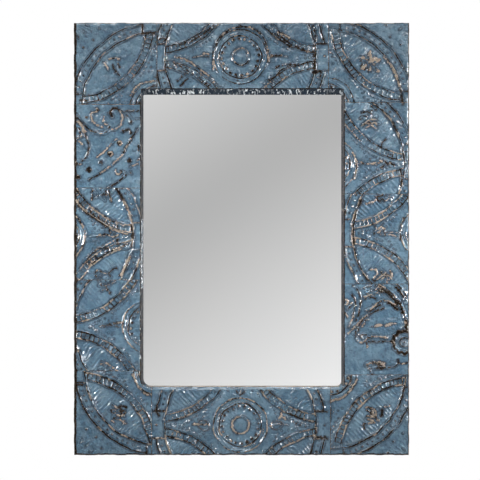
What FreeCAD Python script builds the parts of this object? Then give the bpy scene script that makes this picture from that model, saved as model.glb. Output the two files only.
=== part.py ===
# Wall mirror in a flat wooden frame clad in pieces of embossed tin ceiling tile.
# Millimetres. X to the right, Z up, the face looks along -Y. The origin is the middle of the wall plane,
# which is the plane of the rubber bumpers' back faces.
import FreeCAD
import Part
import math
import os

os.makedirs("parts", exist_ok=True)

vec = FreeCAD.Vector
full_turn = 360.0
half_turn = 180.0
quarter_turn = 90.0
chord_sag = 0.5
diagonal = math.sqrt(2)

# Frame outline and the clear opening at the glass
frame_width = 610.0
frame_height = 787.0
sight_width = 366.0
sight_height = 538.0
overrun = 2.0

# Depth of the pieces, from the wall forwards
bumper_height = 6.0
board_thickness = 19.0
tin_thickness = 0.5
glass_thickness = 4.0
glass_spare_depth = 0.3
backing_thickness = 3.0

# Sight edge and outer edge of the cladding
sight_slope = 5.0
sight_roll = 1.2
outer_bend = 2.2
sight_corner_bottom_left = 14.0
sight_corner_bottom_right = 9.0
sight_corner_top = 2.0
outer_return_short = 2.0
sight_return_gap = 0.2
seam_gap = 0.4

# Rabbet, glass and backing board
rabbet_lap = 6.0
glass_edge_gap = 1.0
backing_lap = 12.0

# Where the cladding is cut, as shares of half the sight opening's width or height
top_seam_shares = (-0.8415, 0.865)
bottom_seam_shares = (-0.8934, 0.8852)
left_seam_shares = (0.9115, 0.3454, -0.2777, -0.8941)
right_seam_shares = (0.9257, 0.3045, -0.3045, -0.9204)

# The lattice tile: one repeat, its circle band, its ladder bands and its medallion
tile_pitch = 304.8
circle_inner_radius = 137.6
circle_outer_radius = 155.0
circle_line_width = 5.0
circle_line_height = 2.2
ladder_lens_radius = 134.0
ladder_medal_radius = 145.8
ladder_line_width = 4.0
ladder_line_height = 1.8
medal_rim_radius = 49.2
medal_rim_width = 8.0
medal_rim_height = 3.6
medal_step_radius = 39.0
medal_step_width = 6.0
medal_step_height = 2.8
medal_eye_radius = 15.5
medal_eye_width = 5.0
medal_eye_height = 2.8
medal_dome_radius = 11.0
medal_dome_height = 2.0
medal_dome_top_share = 0.5
leaf_centre_radius = 110.0
leaf_lobe_length = 13.0
leaf_lobe_width = 5.5
leaf_lobe_height = 2.0
leaf_lobe_angles = (-70.0, -35.0, 0.0, 35.0, 70.0)
ridge_root = 0.2

# The scroll tile: arcs as shares of the tile's repeat, from the middle of the piece cut from it:
# centre x, centre z, radius, then the angle where the arc starts and the angle it turns through
scroll_line_width = 6.0
scroll_line_height = 3.0
boss_radius = 3.8
boss_top_radius = 1.6
boss_height = 2.4
boss_sides = 8
left_scroll_shares = (
    (-0.049, 0.246, 0.158, 194, 95),
    (-0.043, 0.175, 0.054, 96, 174),
    (0.038, 0.160, 0.057, -90, 200),
    (-0.199, -0.011, 0.089, -80, 168),
    (-0.169, 0.163, 0.341, -82, 64),
    (-0.169, 0.163, 0.443, -71, 21),
)
left_boss_shares = (
    (-0.175, -0.184), (-0.112, -0.136), (-0.037, -0.100), (0.020, -0.047), (0.074, 0.013),
    (0.065, -0.142), (0.136, -0.077), (0.142, -0.154), (0.136, 0.157),
)
right_scroll_shares = (
    (-0.005, 0.014, 0.205, 5, 70),
    (-0.005, 0.014, 0.275, 41, 23),
    (-0.250, 0.140, 0.158, -56, 104),
    (-0.250, 0.128, 0.129, -50, 85),
    (0.049, 0.020, 0.136, 50, 90),
    (0.169, -0.075, 0.078, 0, 360),
    (0.169, -0.075, 0.030, 0, 360),
    (-0.089, -0.051, 0.033, 0, 360),
)
right_boss_shares = ((-0.089, -0.051), (0.169, -0.075))

# Where each lattice piece lies on its tile: the medallion's place, as shares of half the frame
lattice_centre_shares = {
    "tin_corner_top_left": (-0.505, 0.607),
    "tin_top": (-0.007, 0.843),
    "tin_corner_top_right": (0.511, 0.621),
    "tin_left_middle": (-1.098, 0.012),
    "tin_left_lower": (-0.550, -0.406),
    "tin_right_upper": (0.523, 0.345),
    "tin_right_middle": (1.111, 0.028),
    "tin_corner_bottom_left": (-0.487, -0.602),
    "tin_bottom": (-0.007, -0.8615),
    "tin_corner_bottom_right": (0.529, -0.621),
}

# Corrugated strips across the mitres
strip_length = 26.0
strip_depth = 10.0
strip_thickness = 0.9
strip_wave = 2.4
strip_half_waves = 6
strip_place_shares = (0.26, 0.60)

# Square cut nails through the outer return, smaller ones through the sight return
nail_shank = 1.6
nail_length = 14.0
nail_head = 4.4
nail_head_top = 1.8
nail_head_height = 0.9
nail_up_count = 7
nail_across_count = 5
nail_end_inset = 32.0
brad_shank = 1.1
brad_length = 10.0
brad_head = 2.6
brad_head_top = 1.4
brad_head_height = 0.5
brad_up_count = 4
brad_across_count = 3
brad_end_inset = 48.0
cut_nail_sides = 4
cut_nail_tip_share = 0.5
cut_nail_turn_share = 0.5

# Tacks that hold the backing board, and the hangers' screws
tack_shank = 1.8
tack_length = 12.0
tack_head = 6.4
tack_head_top = 4.0
tack_head_height = 1.2
tack_head_sides = 8
tack_up_count = 3
tack_across_count = 2
tack_end_inset = 70.0
screw_radius = 1.6
screw_clearance = 0.05
screw_length = 14.0
screw_head_radius = 3.2
screw_head_height = 1.5
screw_sides = 12

# Hangers: a strap folded round the straight bar of a D-ring
hanger_drop = 150.0
strap_width = 12.0
strap_sheet = 1.0
strap_length = 38.0
strap_screw_far = 32.0
strap_screw_near = 20.5
eye_sides = 16
ring_wire_radius = 1.3
ring_running_clearance = 0.06
ring_half_width = 9.3
ring_corner_radius = 3.0
ring_arm_height = 5.0
ring_rest_gap = 0.3
wire_sides = 12
wire_corner_steps = 3
wire_arc_steps = 8

# Bumpers
bumper_radius = 9.0
bumper_sides = 20
bumper_inset = 24.0

# Levels that follow from the depths
wood_back = -bumper_height
wood_front = wood_back - board_thickness
tin_front = wood_front - tin_thickness
shoulder = wood_back - glass_thickness - glass_spare_depth
lip_depth = shoulder - tin_front
half_width = frame_width / 2
half_height = frame_height / 2
half_sight_width = sight_width / 2
half_sight_height = sight_height / 2
rabbet_half_width = half_sight_width + tin_thickness + rabbet_lap
rabbet_half_height = half_sight_height + tin_thickness + rabbet_lap
backing_half_width = rabbet_half_width + backing_lap
backing_half_height = rabbet_half_height + backing_lap


def save(node, shape):
    shape.exportStep("parts/" + node + ".step")


def fused(shapes):
    whole = shapes[0]
    if len(shapes) > 1:
        whole = whole.fuse(shapes[1:])
    return whole


def slab(x_low, x_high, z_low, z_high, y_low, y_high):
    return Part.makeBox(x_high - x_low, y_high - y_low, z_high - z_low, vec(x_low, y_low, z_low))


def centred_slab(half_x, half_z, y_low, y_high):
    return slab(-half_x, half_x, -half_z, half_z, y_low, y_high)


def prism(outline, y_low, y_high):
    # outline is a list of (x, z) points
    points = [vec(x, y_low, z) for x, z in outline]
    face = Part.Face(Part.makePolygon(points + points[:1]))
    return face.extrude(vec(0, y_high - y_low, 0))


def flat(points):
    return Part.Face(Part.makePolygon(points + points[:1]))


def stacked(loops, closed=False):
    # a solid whose skin joins each loop of points to the next; closed joins the last to the first
    faces = [] if closed else [flat(loops[0][::-1]), flat(loops[-1])]
    following = loops[1:] + loops[:1] if closed else loops[1:]
    for lower, upper in zip(loops, following):
        for index in range(len(lower)):
            after = (index + 1) % len(lower)
            faces.append(flat([lower[index], lower[after], upper[after], upper[index]]))
    solid = Part.makeSolid(Part.makeShell(faces))
    if solid.Volume < 0:
        solid.reverse()
    return solid


def level_polygon(sides, across, level, turn_share=0.0):
    # a regular polygon about the Z axis; across is the width of the circle through its corners
    angles = [math.radians(full_turn * (index + turn_share) / sides) for index in range(sides)]
    return [vec(across / 2 * math.cos(angle), across / 2 * math.sin(angle), level) for angle in angles]


def turned(section, steps, first_angle=0.0, turn=full_turn):
    # the section's (radius, y) points carried round the Y axis in straight steps, X towards Z
    closed = turn == full_turn
    loops = []
    for index in range(steps if closed else steps + 1):
        angle = math.radians(first_angle + turn * index / steps)
        loops.append([vec(radius * math.cos(angle), y, radius * math.sin(angle)) for radius, y in section])
    return stacked(loops, closed)


def steps_round(radius, turn=full_turn):
    # how many straight steps keep within the sag of an arc
    step = 2 * math.degrees(math.acos(1 - chord_sag / radius))
    return max(math.ceil(turn / step), 2)


def rounded_outline(half_x, half_z, y, radii):
    # points round the opening from the bottom left corner; radii are those of its four corners
    corners = ((-1, -1, half_turn), (1, -1, -quarter_turn), (1, 1, 0.0), (-1, 1, quarter_turn))
    points = []
    for (side_x, side_z, first_angle), (radius, steps) in zip(corners, radii):
        middle_x, middle_z = side_x * (half_x - radius), side_z * (half_z - radius)
        for index in range(steps + 1):
            angle = math.radians(first_angle + quarter_turn * index / steps)
            points.append(vec(middle_x + radius * math.cos(angle), y, middle_z + radius * math.sin(angle)))
    return points


def flared_cut(levels, radii):
    # the opening, cut by levels of (y, how much wider than the sight on each side)
    loops = []
    for y, wide in levels:
        grown = [(radius + wide, steps_round(radius, quarter_turn)) for radius in radii]
        loops.append(rounded_outline(half_sight_width + wide, half_sight_height + wide, y, grown))
    return stacked(loops)


def square_flared_cut(levels):
    loops = []
    for y, wide in levels:
        x, z = half_sight_width + wide, half_sight_height + wide
        loops.append([vec(-x, y, -z), vec(x, y, -z), vec(x, y, z), vec(-x, y, z)])
    return stacked(loops)


def sight_levels(skin, front):
    # straight behind the shoulder, sloped in front of it, and rolled at the front edge
    rolled = sight_slope + skin + sight_roll
    return (
        (wood_back + overrun, skin),
        (shoulder, skin),
        (front + sight_roll, sight_slope + skin),
        (front, rolled),
        (front - overrun, rolled + overrun),
    )


def bent_block(inset, bend, y_front, y_back):
    block = centred_slab(half_width - inset, half_height - inset, y_front, y_back)
    front_edges = [edge for edge in block.Edges if edge.BoundBox.YMax < y_front + bend]
    return block.makeFillet(bend, front_edges)


def wooden_core():
    block = bent_block(tin_thickness, outer_bend - tin_thickness, wood_front, wood_back)
    block = block.cut(square_flared_cut(sight_levels(tin_thickness, wood_front)))
    return block.cut(centred_slab(rabbet_half_width, rabbet_half_height, shoulder, wood_back + overrun))


def tin_skin(core):
    block = bent_block(0, outer_bend, tin_front, wood_back - outer_return_short)
    radii = (sight_corner_bottom_left, sight_corner_bottom_right, sight_corner_top, sight_corner_top)
    block = block.cut(flared_cut(sight_levels(0, tin_front), radii))
    glass_room = centred_slab(rabbet_half_width, rabbet_half_height, shoulder - sight_return_gap, 0)
    return block.cut(core.fuse(glass_room))


def mitred_boards(core):
    # each board lies between the outer corners and the sight corners
    outer = {"left": -half_width, "right": half_width, "low": -half_height, "high": half_height}
    inner = {"left": -half_sight_width, "right": half_sight_width,
             "low": -half_sight_height, "high": half_sight_height}
    sides = {
        "stile_left": (("left", "low"), ("left", "high")),
        "stile_right": (("right", "high"), ("right", "low")),
        "rail_top": (("left", "high"), ("right", "high")),
        "rail_bottom": (("right", "low"), ("left", "low")),
    }
    boards = {}
    for node, (first, last) in sides.items():
        outline = [(outer[first[0]], outer[first[1]]), (outer[last[0]], outer[last[1]]),
                   (inner[last[0]], inner[last[1]]), (inner[first[0]], inner[first[1]])]
        boards[node] = core.common(prism(outline, tin_front, wood_back))
    return boards


def corrugated_strip():
    # lies along X through the origin, its waves along Z, driven from the wooden back forwards
    step = strip_length / strip_half_waves
    crest = strip_wave / 2
    middle = [(index * step - strip_length / 2, crest if index % 2 else -crest)
              for index in range(strip_half_waves + 1)]
    upper = [(x, z + strip_thickness / 2) for x, z in middle]
    lower = [(x, z - strip_thickness / 2) for x, z in reversed(middle)]
    return prism(upper + lower, wood_back - strip_depth, wood_back)


def mitre_strips():
    strips = []
    for side_x in (-1, 1):
        for side_z in (-1, 1):
            corner = vec(side_x * half_sight_width, 0, side_z * half_sight_height)
            outer_corner = vec(side_x * half_width, 0, side_z * half_height)
            mitre = outer_corner - corner
            lean = math.degrees(math.atan2(mitre.z, mitre.x))
            for share in strip_place_shares:
                strip = corrugated_strip()
                strip.rotate(vec(0, 0, 0), vec(0, -1, 0), lean + quarter_turn)
                strip.translate(corner + mitre * share)
                strips.append(strip)
    return strips


def spread(count, low, high):
    step = (high - low) / (count - 1)
    return [low + index * step for index in range(count)]


def round_bar(radius, low, high, sides):
    return stacked([level_polygon(sides, 2 * radius, low), level_polygon(sides, 2 * radius, high)])


def placed(shape, point, direction):
    # what was made along +Z from the origin, set at the point and turned along the direction
    shape.Placement = FreeCAD.Placement(point, FreeCAD.Rotation(vec(0, 0, 1), direction))
    return shape


def cut_nail(point, inward, shank, length, head, head_top, head_height, head_sides=cut_nail_sides):
    # a square shank that tapers inwards from the point, and a faceted head outside it
    turn = cut_nail_turn_share
    body = stacked([level_polygon(cut_nail_sides, shank, 0, turn),
                    level_polygon(cut_nail_sides, shank * cut_nail_tip_share, length, turn)])
    cap = stacked([level_polygon(head_sides, head_top, -head_height, turn),
                   level_polygon(head_sides, head, 0, turn)])
    return placed(body.copy(), point, inward), placed(body.fuse(cap), point, inward)


def perimeter(half_x, half_z, inset, up_count, across_count):
    # places round a rectangle, each with the sign of the side that it lies on
    places = []
    for z in spread(up_count, -half_z + inset, half_z - inset):
        places += [(-half_x, z, -1, 0), (half_x, z, 1, 0)]
    for x in spread(across_count, -half_x + inset, half_x - inset):
        places += [(x, -half_z, 0, -1), (x, half_z, 0, 1)]
    return places


def outer_nails():
    middle = (wood_front + wood_back) / 2
    return [cut_nail(vec(x, middle, z), vec(-side_x, 0, -side_z), nail_shank, nail_length,
                     nail_head, nail_head_top, nail_head_height)
            for x, z, side_x, side_z in
            perimeter(half_width, half_height, nail_end_inset, nail_up_count, nail_across_count)]


def sight_brads():
    # square to the sloped return, at the middle of its depth
    middle = (shoulder + tin_front + sight_roll) / 2
    lean = math.atan2(sight_slope, lip_depth - sight_roll)
    off = sight_slope / 2
    into, along = math.cos(lean), math.sin(lean)
    return [cut_nail(vec(x, middle, z), vec(side_x * into, along, side_z * into), brad_shank, brad_length,
                     brad_head, brad_head_top, brad_head_height)
            for x, z, side_x, side_z in
            perimeter(half_sight_width + off, half_sight_height + off, brad_end_inset,
                      brad_up_count, brad_across_count)]


def backing_tacks():
    level = wood_back + backing_thickness
    return [cut_nail(vec(x, level, z), vec(0, -1, 0), tack_shank, tack_length,
                     tack_head, tack_head_top, tack_head_height, tack_head_sides)
            for x, z, side_x, side_z in
            perimeter(rabbet_half_width + backing_lap / 2, rabbet_half_height + backing_lap / 2,
                      tack_end_inset, tack_up_count, tack_across_count)]


def hanger_screw(place):
    # its hole in the board and the strap is a little wider than its shank
    hole_radius = screw_radius + screw_clearance
    hole = round_bar(hole_radius, 0, screw_length, screw_sides)
    shank = round_bar(screw_radius, 0, screw_length, screw_sides)
    head = round_bar(screw_head_radius, -screw_head_height, 0, screw_sides)
    forwards = vec(0, -1, 0)
    return placed(hole, place, forwards), placed(shank.fuse(head), place, forwards)


# A ridge of the embossing: a low triangle carried round the middle of its arc
def ridge(x, z, radius, width, height, first_angle=0.0, turn=full_turn):
    foot = tin_front + ridge_root
    section = [(radius - width / 2, foot), (radius, tin_front - height), (radius + width / 2, foot)]
    arc = turned(section, steps_round(radius, turn), first_angle, turn)
    arc.translate(vec(x, 0, z))
    return arc


def boss(x, z, radius, top_radius, height, sides):
    base = level_polygon(sides, 2 * radius, -ridge_root)
    top = level_polygon(sides, 2 * top_radius, height)
    return placed(stacked([base, top]), vec(x, tin_front, z), vec(0, -1, 0))


def leaf(x, z, lean):
    # five pointed lobes that fan out from one stem end
    foot = tin_front + ridge_root
    half = leaf_lobe_width / 2
    middle = leaf_lobe_length / 2
    lobes = []
    for angle in leaf_lobe_angles:
        outline = [vec(0, foot, 0), vec(middle, foot, half), vec(leaf_lobe_length, foot, 0),
                   vec(middle, foot, -half)]
        peak = vec(middle, tin_front - leaf_lobe_height, 0)
        faces = [flat(outline[::-1])]
        faces += [flat([start, end, peak]) for start, end in zip(outline, outline[1:] + outline[:1])]
        lobe = Part.makeSolid(Part.makeShell(faces))
        lobe.rotate(vec(0, 0, 0), vec(0, -1, 0), angle + lean)
        lobe.translate(vec(x, 0, z))
        lobes.append(lobe)
    return lobes


def ladder_rails(x, z, side_x, side_z):
    # two rails about one corner of the tile, from the circle band to the circle band
    corner_x, corner_z = x + side_x * tile_pitch / 2, z + side_z * tile_pitch / 2
    reach = tile_pitch / diagonal
    towards = math.degrees(math.atan2(-side_z, -side_x))
    rails = []
    for radius in (ladder_lens_radius, ladder_medal_radius):
        share = (reach ** 2 + radius ** 2 - circle_inner_radius ** 2) / (2 * reach * radius)
        half = math.degrees(math.acos(share))
        rails.append(ridge(corner_x, corner_z, radius, ladder_line_width, ladder_line_height,
                           towards - half, 2 * half))
    return rails


def lattice_relief(x, z):
    raised = [
        ridge(x, z, circle_inner_radius, circle_line_width, circle_line_height),
        ridge(x, z, circle_outer_radius, circle_line_width, circle_line_height),
        ridge(x, z, medal_rim_radius, medal_rim_width, medal_rim_height),
        ridge(x, z, medal_step_radius, medal_step_width, medal_step_height),
        ridge(x, z, medal_eye_radius, medal_eye_width, medal_eye_height),
        boss(x, z, medal_dome_radius, medal_dome_radius * medal_dome_top_share, medal_dome_height,
             steps_round(medal_dome_radius)),
    ]
    lens = leaf_centre_radius / diagonal
    for side_x in (-1, 1):
        for side_z in (-1, 1):
            raised += ladder_rails(x, z, side_x, side_z)
            outwards = math.degrees(math.atan2(side_z, side_x))
            raised += leaf(x + side_x * lens, z + side_z * lens, outwards)
    return raised


def scroll_relief(x, z, arc_shares, boss_shares):
    raised = [ridge(x + arc_x * tile_pitch, z + arc_z * tile_pitch, radius * tile_pitch,
                    scroll_line_width, scroll_line_height, first_angle, turn)
              for arc_x, arc_z, radius, first_angle, turn in arc_shares]
    raised += [boss(x + boss_x * tile_pitch, z + boss_z * tile_pitch, boss_radius, boss_top_radius,
                    boss_height, boss_sides) for boss_x, boss_z in boss_shares]
    return raised


def panel_outlines():
    top = [-half_width] + [share * half_sight_width for share in top_seam_shares] + [half_width]
    bottom = [-half_width] + [share * half_sight_width for share in bottom_seam_shares] + [half_width]
    left = [share * half_sight_height for share in left_seam_shares]
    right = [share * half_sight_height for share in right_seam_shares]
    return {
        "tin_corner_top_left": (top[0], top[1], left[0], half_height),
        "tin_top": (top[1], top[2], 0, half_height),
        "tin_corner_top_right": (top[2], top[3], right[0], half_height),
        "tin_left_upper": (-half_width, 0, left[1], left[0]),
        "tin_left_middle": (-half_width, 0, left[2], left[1]),
        "tin_left_lower": (-half_width, 0, left[3], left[2]),
        "tin_right_upper": (0, half_width, right[1], right[0]),
        "tin_right_middle": (0, half_width, right[2], right[1]),
        "tin_right_lower": (0, half_width, right[3], right[2]),
        "tin_corner_bottom_left": (bottom[0], bottom[1], -half_height, left[3]),
        "tin_bottom": (bottom[1], bottom[2], -half_height, 0),
        "tin_corner_bottom_right": (bottom[2], bottom[3], -half_height, right[3]),
    }


def tin_panels(skin, pins):
    # each piece of the cladding is cut from the skin between its seams and gets its own embossing
    margin = seam_gap / 2
    flat_half_x = half_sight_width + sight_slope + sight_roll
    flat_half_z = half_sight_height + sight_slope + sight_roll
    tallest = tin_front - scroll_line_height - medal_rim_height
    flat_zone = centred_slab(half_width - outer_bend, half_height - outer_bend, tallest, wood_front)
    flat_zone = flat_zone.cut(centred_slab(flat_half_x, flat_half_z, tallest, wood_front))
    scrolls = {
        "tin_left_upper": (left_scroll_shares, left_boss_shares),
        "tin_right_lower": (right_scroll_shares, right_boss_shares),
    }
    panels = {}
    for node, (x_low, x_high, z_low, z_high) in panel_outlines().items():
        outline = (x_low + margin, x_high - margin, z_low + margin, z_high - margin)
        cutter = slab(*outline, tallest, 0)
        sheet = skin.common(cutter)
        if node in scrolls:
            side = math.copysign(half_width + half_sight_width, x_low + x_high) / 2
            raised = scroll_relief(side, (z_low + z_high) / 2, *scrolls[node])
        else:
            share_x, share_z = lattice_centre_shares[node]
            raised = lattice_relief(share_x * half_width, share_z * half_height)
        room = flat_zone.common(cutter)
        raised = [piece.common(room) for piece in raised if piece.BoundBox.intersect(room.BoundBox)]
        raised = [piece for piece in raised if piece.Volume > 0]
        panel = sheet.fuse(raised).cut(Part.makeCompound(pins))
        panels[node] = panel.removeSplitter()
    return panels


# Hangers. The ring turns on the X axis through the strap's eye
eye_radius = ring_wire_radius + ring_running_clearance
eye_outer_radius = eye_radius + strap_sheet
ring_axis_y = wood_back + eye_outer_radius
ring_axis_z = half_height - hanger_drop
hanger_x = (half_width + half_sight_width) / 2
ring_top_reach = ring_arm_height + ring_half_width


def hanger_strap(x):
    low, high = ring_axis_z - strap_length, ring_axis_z
    left, right = x - strap_width / 2, x + strap_width / 2
    folded = slab(left, right, low, high, wood_back, wood_back + 2 * strap_sheet)
    middle = vec(left, ring_axis_y, ring_axis_z)
    eye = placed(round_bar(eye_outer_radius, 0, strap_width, eye_sides), middle, vec(1, 0, 0))
    bore = Part.makeCylinder(eye_radius, strap_width, middle, vec(1, 0, 0))
    return folded.fuse(eye).cut(bore).removeSplitter()


def wire_section(radius):
    # the wire's section, its middle at the radius
    points = level_polygon(wire_sides, 2 * ring_wire_radius, 0)
    return [(radius + point.x, point.y) for point in points]


def wire_bend(x, z, radius, steps, first_angle, turn):
    bend = turned(wire_section(radius), steps, first_angle, turn)
    bend.translate(vec(x, 0, z))
    return bend


def wire_arm(x, z_low, z_high):
    loops = [[vec(x + across, y, z) for across, y in wire_section(0)] for z in (z_low, z_high)]
    return stacked(loops)


def hanger_ring(x):
    # round where it turns in the eye; the rest of the wire is faceted
    corner_x = ring_half_width - ring_corner_radius
    corner_z = ring_corner_radius
    pieces = [
        Part.makeCylinder(ring_wire_radius, 2 * corner_x, vec(-corner_x, 0, 0), vec(1, 0, 0)),
        wire_bend(-corner_x, corner_z, ring_corner_radius, wire_corner_steps, half_turn, quarter_turn),
        wire_bend(corner_x, corner_z, ring_corner_radius, wire_corner_steps, -quarter_turn, quarter_turn),
        wire_arm(-ring_half_width, corner_z, ring_arm_height),
        wire_arm(ring_half_width, corner_z, ring_arm_height),
        wire_bend(0, ring_arm_height, ring_half_width, wire_arc_steps, 0, half_turn),
    ]
    ring = fused(pieces).removeSplitter()
    rest_drop = ring_axis_y - (wood_back + ring_rest_gap + ring_wire_radius)
    lean = math.degrees(math.asin(rest_drop / ring_top_reach))
    ring.rotate(vec(0, 0, 0), vec(1, 0, 0), lean)
    ring.translate(vec(x, ring_axis_y, ring_axis_z))
    return ring


def hanger_screw_places(x):
    level = wood_back + 2 * strap_sheet
    return [vec(x, level, ring_axis_z - strap_screw_near), vec(x, level, ring_axis_z - strap_screw_far)]


def bumper(x, z):
    return placed(round_bar(bumper_radius, 0, bumper_height, bumper_sides), vec(x, wood_back, z), vec(0, 1, 0))


def main():
    core = wooden_core()
    skin = tin_skin(core)
    strips = mitre_strips()
    nails, brads, tacks = outer_nails(), sight_brads(), backing_tacks()

    screws = []
    for side, x in (("left", -hanger_x), ("right", hanger_x)):
        pair = [hanger_screw(place) for place in hanger_screw_places(x)]
        save("hanger_strap_" + side, hanger_strap(x).cut(Part.makeCompound([hole for hole, screw in pair])))
        save("hanger_ring_" + side, hanger_ring(x))
        screws += pair
    save("hanger_screws", Part.makeCompound([screw for hole, screw in screws]))

    tack_shanks = Part.makeCompound([shank for shank, tack in tacks])
    backing = centred_slab(backing_half_width, backing_half_height, wood_back, wood_back + backing_thickness)
    save("backing_board", backing.cut(tack_shanks))
    save("backing_tacks", Part.makeCompound([tack for shank, tack in tacks]))

    driven = [shank for shank, nail in nails + brads]
    holes = [hole for hole, screw in screws]
    bores = Part.makeCompound(driven + strips + holes + [tack_shanks])
    for node, board in mitred_boards(core).items():
        save(node, board.cut(bores))
    save("mitre_fasteners", Part.makeCompound(strips))
    save("outer_edge_nails", Part.makeCompound([nail for shank, nail in nails]))
    save("sight_edge_brads", Part.makeCompound([brad for shank, brad in brads]))

    save("mirror_glass", centred_slab(rabbet_half_width - glass_edge_gap, rabbet_half_height - glass_edge_gap,
                                      shoulder, shoulder + glass_thickness))

    for node, panel in tin_panels(skin, driven).items():
        save(node, panel)

    for row, z in (("bottom", -half_height + bumper_inset), ("top", half_height - bumper_inset)):
        for side, x in (("left", -half_width + bumper_inset), ("right", half_width - bumper_inset)):
            save("bumper_" + row + "_" + side, bumper(x, z))


main()
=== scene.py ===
import math
import bpy
import numpy as np
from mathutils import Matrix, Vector


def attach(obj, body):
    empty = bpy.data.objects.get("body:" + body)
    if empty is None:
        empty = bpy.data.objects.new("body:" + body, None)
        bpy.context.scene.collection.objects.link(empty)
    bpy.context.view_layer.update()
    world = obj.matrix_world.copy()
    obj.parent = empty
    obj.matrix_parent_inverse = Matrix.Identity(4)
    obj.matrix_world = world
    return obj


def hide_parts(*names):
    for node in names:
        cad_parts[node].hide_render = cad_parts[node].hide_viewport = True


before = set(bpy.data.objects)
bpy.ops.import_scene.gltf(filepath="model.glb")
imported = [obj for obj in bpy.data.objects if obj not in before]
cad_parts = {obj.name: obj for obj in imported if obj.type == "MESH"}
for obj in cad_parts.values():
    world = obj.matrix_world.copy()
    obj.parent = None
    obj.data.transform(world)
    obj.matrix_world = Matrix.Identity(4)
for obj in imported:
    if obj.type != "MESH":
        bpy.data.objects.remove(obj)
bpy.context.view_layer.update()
scene = bpy.context.scene
scene.view_settings.view_transform = "Standard"
print("frame loaded:", len(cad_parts), "nodes")

mm = 0.001

# Helpers for the materials' nodes


def newMaterial(name):
    material = bpy.data.materials.new(name)
    material.use_nodes = True
    tree = material.node_tree
    shader = tree.nodes["Principled BSDF"]
    return material, tree, shader


def addNode(tree, kind, **settings):
    node = tree.nodes.new("ShaderNode" + kind)
    for key, value in settings.items():
        setattr(node, key, value)
    return node


def feed(tree, value, socket):
    # a plain number is set, another node's output is linked
    if isinstance(value, (int, float)):
        socket.default_value = value
    elif isinstance(value, tuple):
        socket.default_value = (*value, 1.0)
    else:
        tree.links.new(value, socket)


def objectPoint(tree, stretch=(1, 1, 1)):
    where = addNode(tree, "TexCoord")
    mapping = addNode(tree, "Mapping")
    mapping.inputs["Scale"].default_value = stretch
    tree.links.new(where.outputs["Object"], mapping.inputs["Vector"])
    return mapping.outputs["Vector"]


def noise(tree, point, scale, detail, rough):
    node = addNode(tree, "TexNoise")
    for key, value in (("Vector", point), ("Scale", scale), ("Detail", detail), ("Roughness", rough)):
        feed(tree, value, node.inputs[key])
    return node.outputs["Fac"]


def attribute(tree, name):
    return addNode(tree, "Attribute", attribute_name=name).outputs["Fac"]


def ramp(tree, value, low, high, toLow=0.0, toHigh=1.0, shape="SMOOTHSTEP"):
    node = addNode(tree, "MapRange", interpolation_type=shape)
    for key, number in (("From Min", low), ("From Max", high), ("To Min", toLow), ("To Max", toHigh)):
        node.inputs[key].default_value = number
    tree.links.new(value, node.inputs["Value"])
    return node.outputs["Result"]


def combine(tree, operation, first, second):
    node = addNode(tree, "Math", operation=operation)
    feed(tree, first, node.inputs[0])
    feed(tree, second, node.inputs[1])
    return node.outputs[0]


def multiply(tree, first, second):
    return combine(tree, "MULTIPLY", first, second)


def add(tree, first, second):
    return combine(tree, "ADD", first, second)


def swing(tree, value, weight):
    # a noise about zero, scaled
    return multiply(tree, combine(tree, "SUBTRACT", value, 0.5), weight)


def mixColour(tree, factor, first, second):
    node = addNode(tree, "Mix", data_type="RGBA")
    feed(tree, factor, node.inputs["Factor"])
    feed(tree, first, node.inputs[6])
    feed(tree, second, node.inputs[7])
    return node.outputs[2]


def bump(tree, height, distance, strength=1.0, previous=None):
    node = addNode(tree, "Bump")
    node.inputs["Strength"].default_value = strength
    node.inputs["Distance"].default_value = distance
    tree.links.new(height, node.inputs["Height"])
    if previous is not None:
        tree.links.new(previous, node.inputs["Normal"])
    return node.outputs["Normal"]

# Worn glossy paint on the tin

tinPaint = {
    "blue": (0.043, 0.107, 0.169),
    "paleBlue": (0.105, 0.193, 0.266),
    "deepBlue": (0.012, 0.03, 0.054),
    "navy": (0.011, 0.022, 0.039),
    "grimeShade": (0.022, 0.022, 0.022),
    "bare": (0.011, 0.009, 0.007),
    "rust": (0.095, 0.068, 0.048),
    "tan": (0.29, 0.236, 0.178),
    "lipDark": (0.03, 0.032, 0.036),
    "lipBrown": (0.115, 0.095, 0.075),
    "lipNavy": (0.012, 0.026, 0.042),
    "lipGlint": (0.82, 0.87, 0.9),
    "edgeTin": (0.46, 0.38, 0.24),
    "edgeRust": (0.12, 0.09, 0.06),
    "gloss": 1.95,
    "polish": 0.08,
    "wornRoughness": 0.85,
    "ridgeBump": 0.0026,
    "dentBump": 0.0028,
    "rippleBump": 0.0013,
    "peelBump": 0.001,
    "wornBump": 0.0002,
    "lipBump": 0.0004,
}


def blueCoat(tree, point, streak, footShade):
    # the sound paint: cloudy blue, streaked and mottled, darkened at the feet of the ridges as painted shade
    look = tinPaint
    broad = noise(tree, point, 22, 3, 0.55)
    mottle = noise(tree, point, 290, 2, 0.6)
    colour = mixColour(tree, ramp(tree, broad, 0.35, 0.68), look["blue"], look["paleBlue"])
    for cover, shade in ((ramp(tree, streak, 0.5, 0.72, 0, 0.55), "deepBlue"),
                         (ramp(tree, streak, 0.46, 0.3, 0, 0.5), "paleBlue"),
                         (ramp(tree, mottle, 0.54, 0.72, 0, 0.4), "deepBlue"),
                         (ramp(tree, mottle, 0.46, 0.3, 0, 0.3), "paleBlue"),
                         (multiply(tree, footShade, ramp(tree, streak, 0.3, 0.6, 0.45, 1.0)), "deepBlue")):
        colour = mixColour(tree, cover, colour, look[shade])
    return colour


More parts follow.
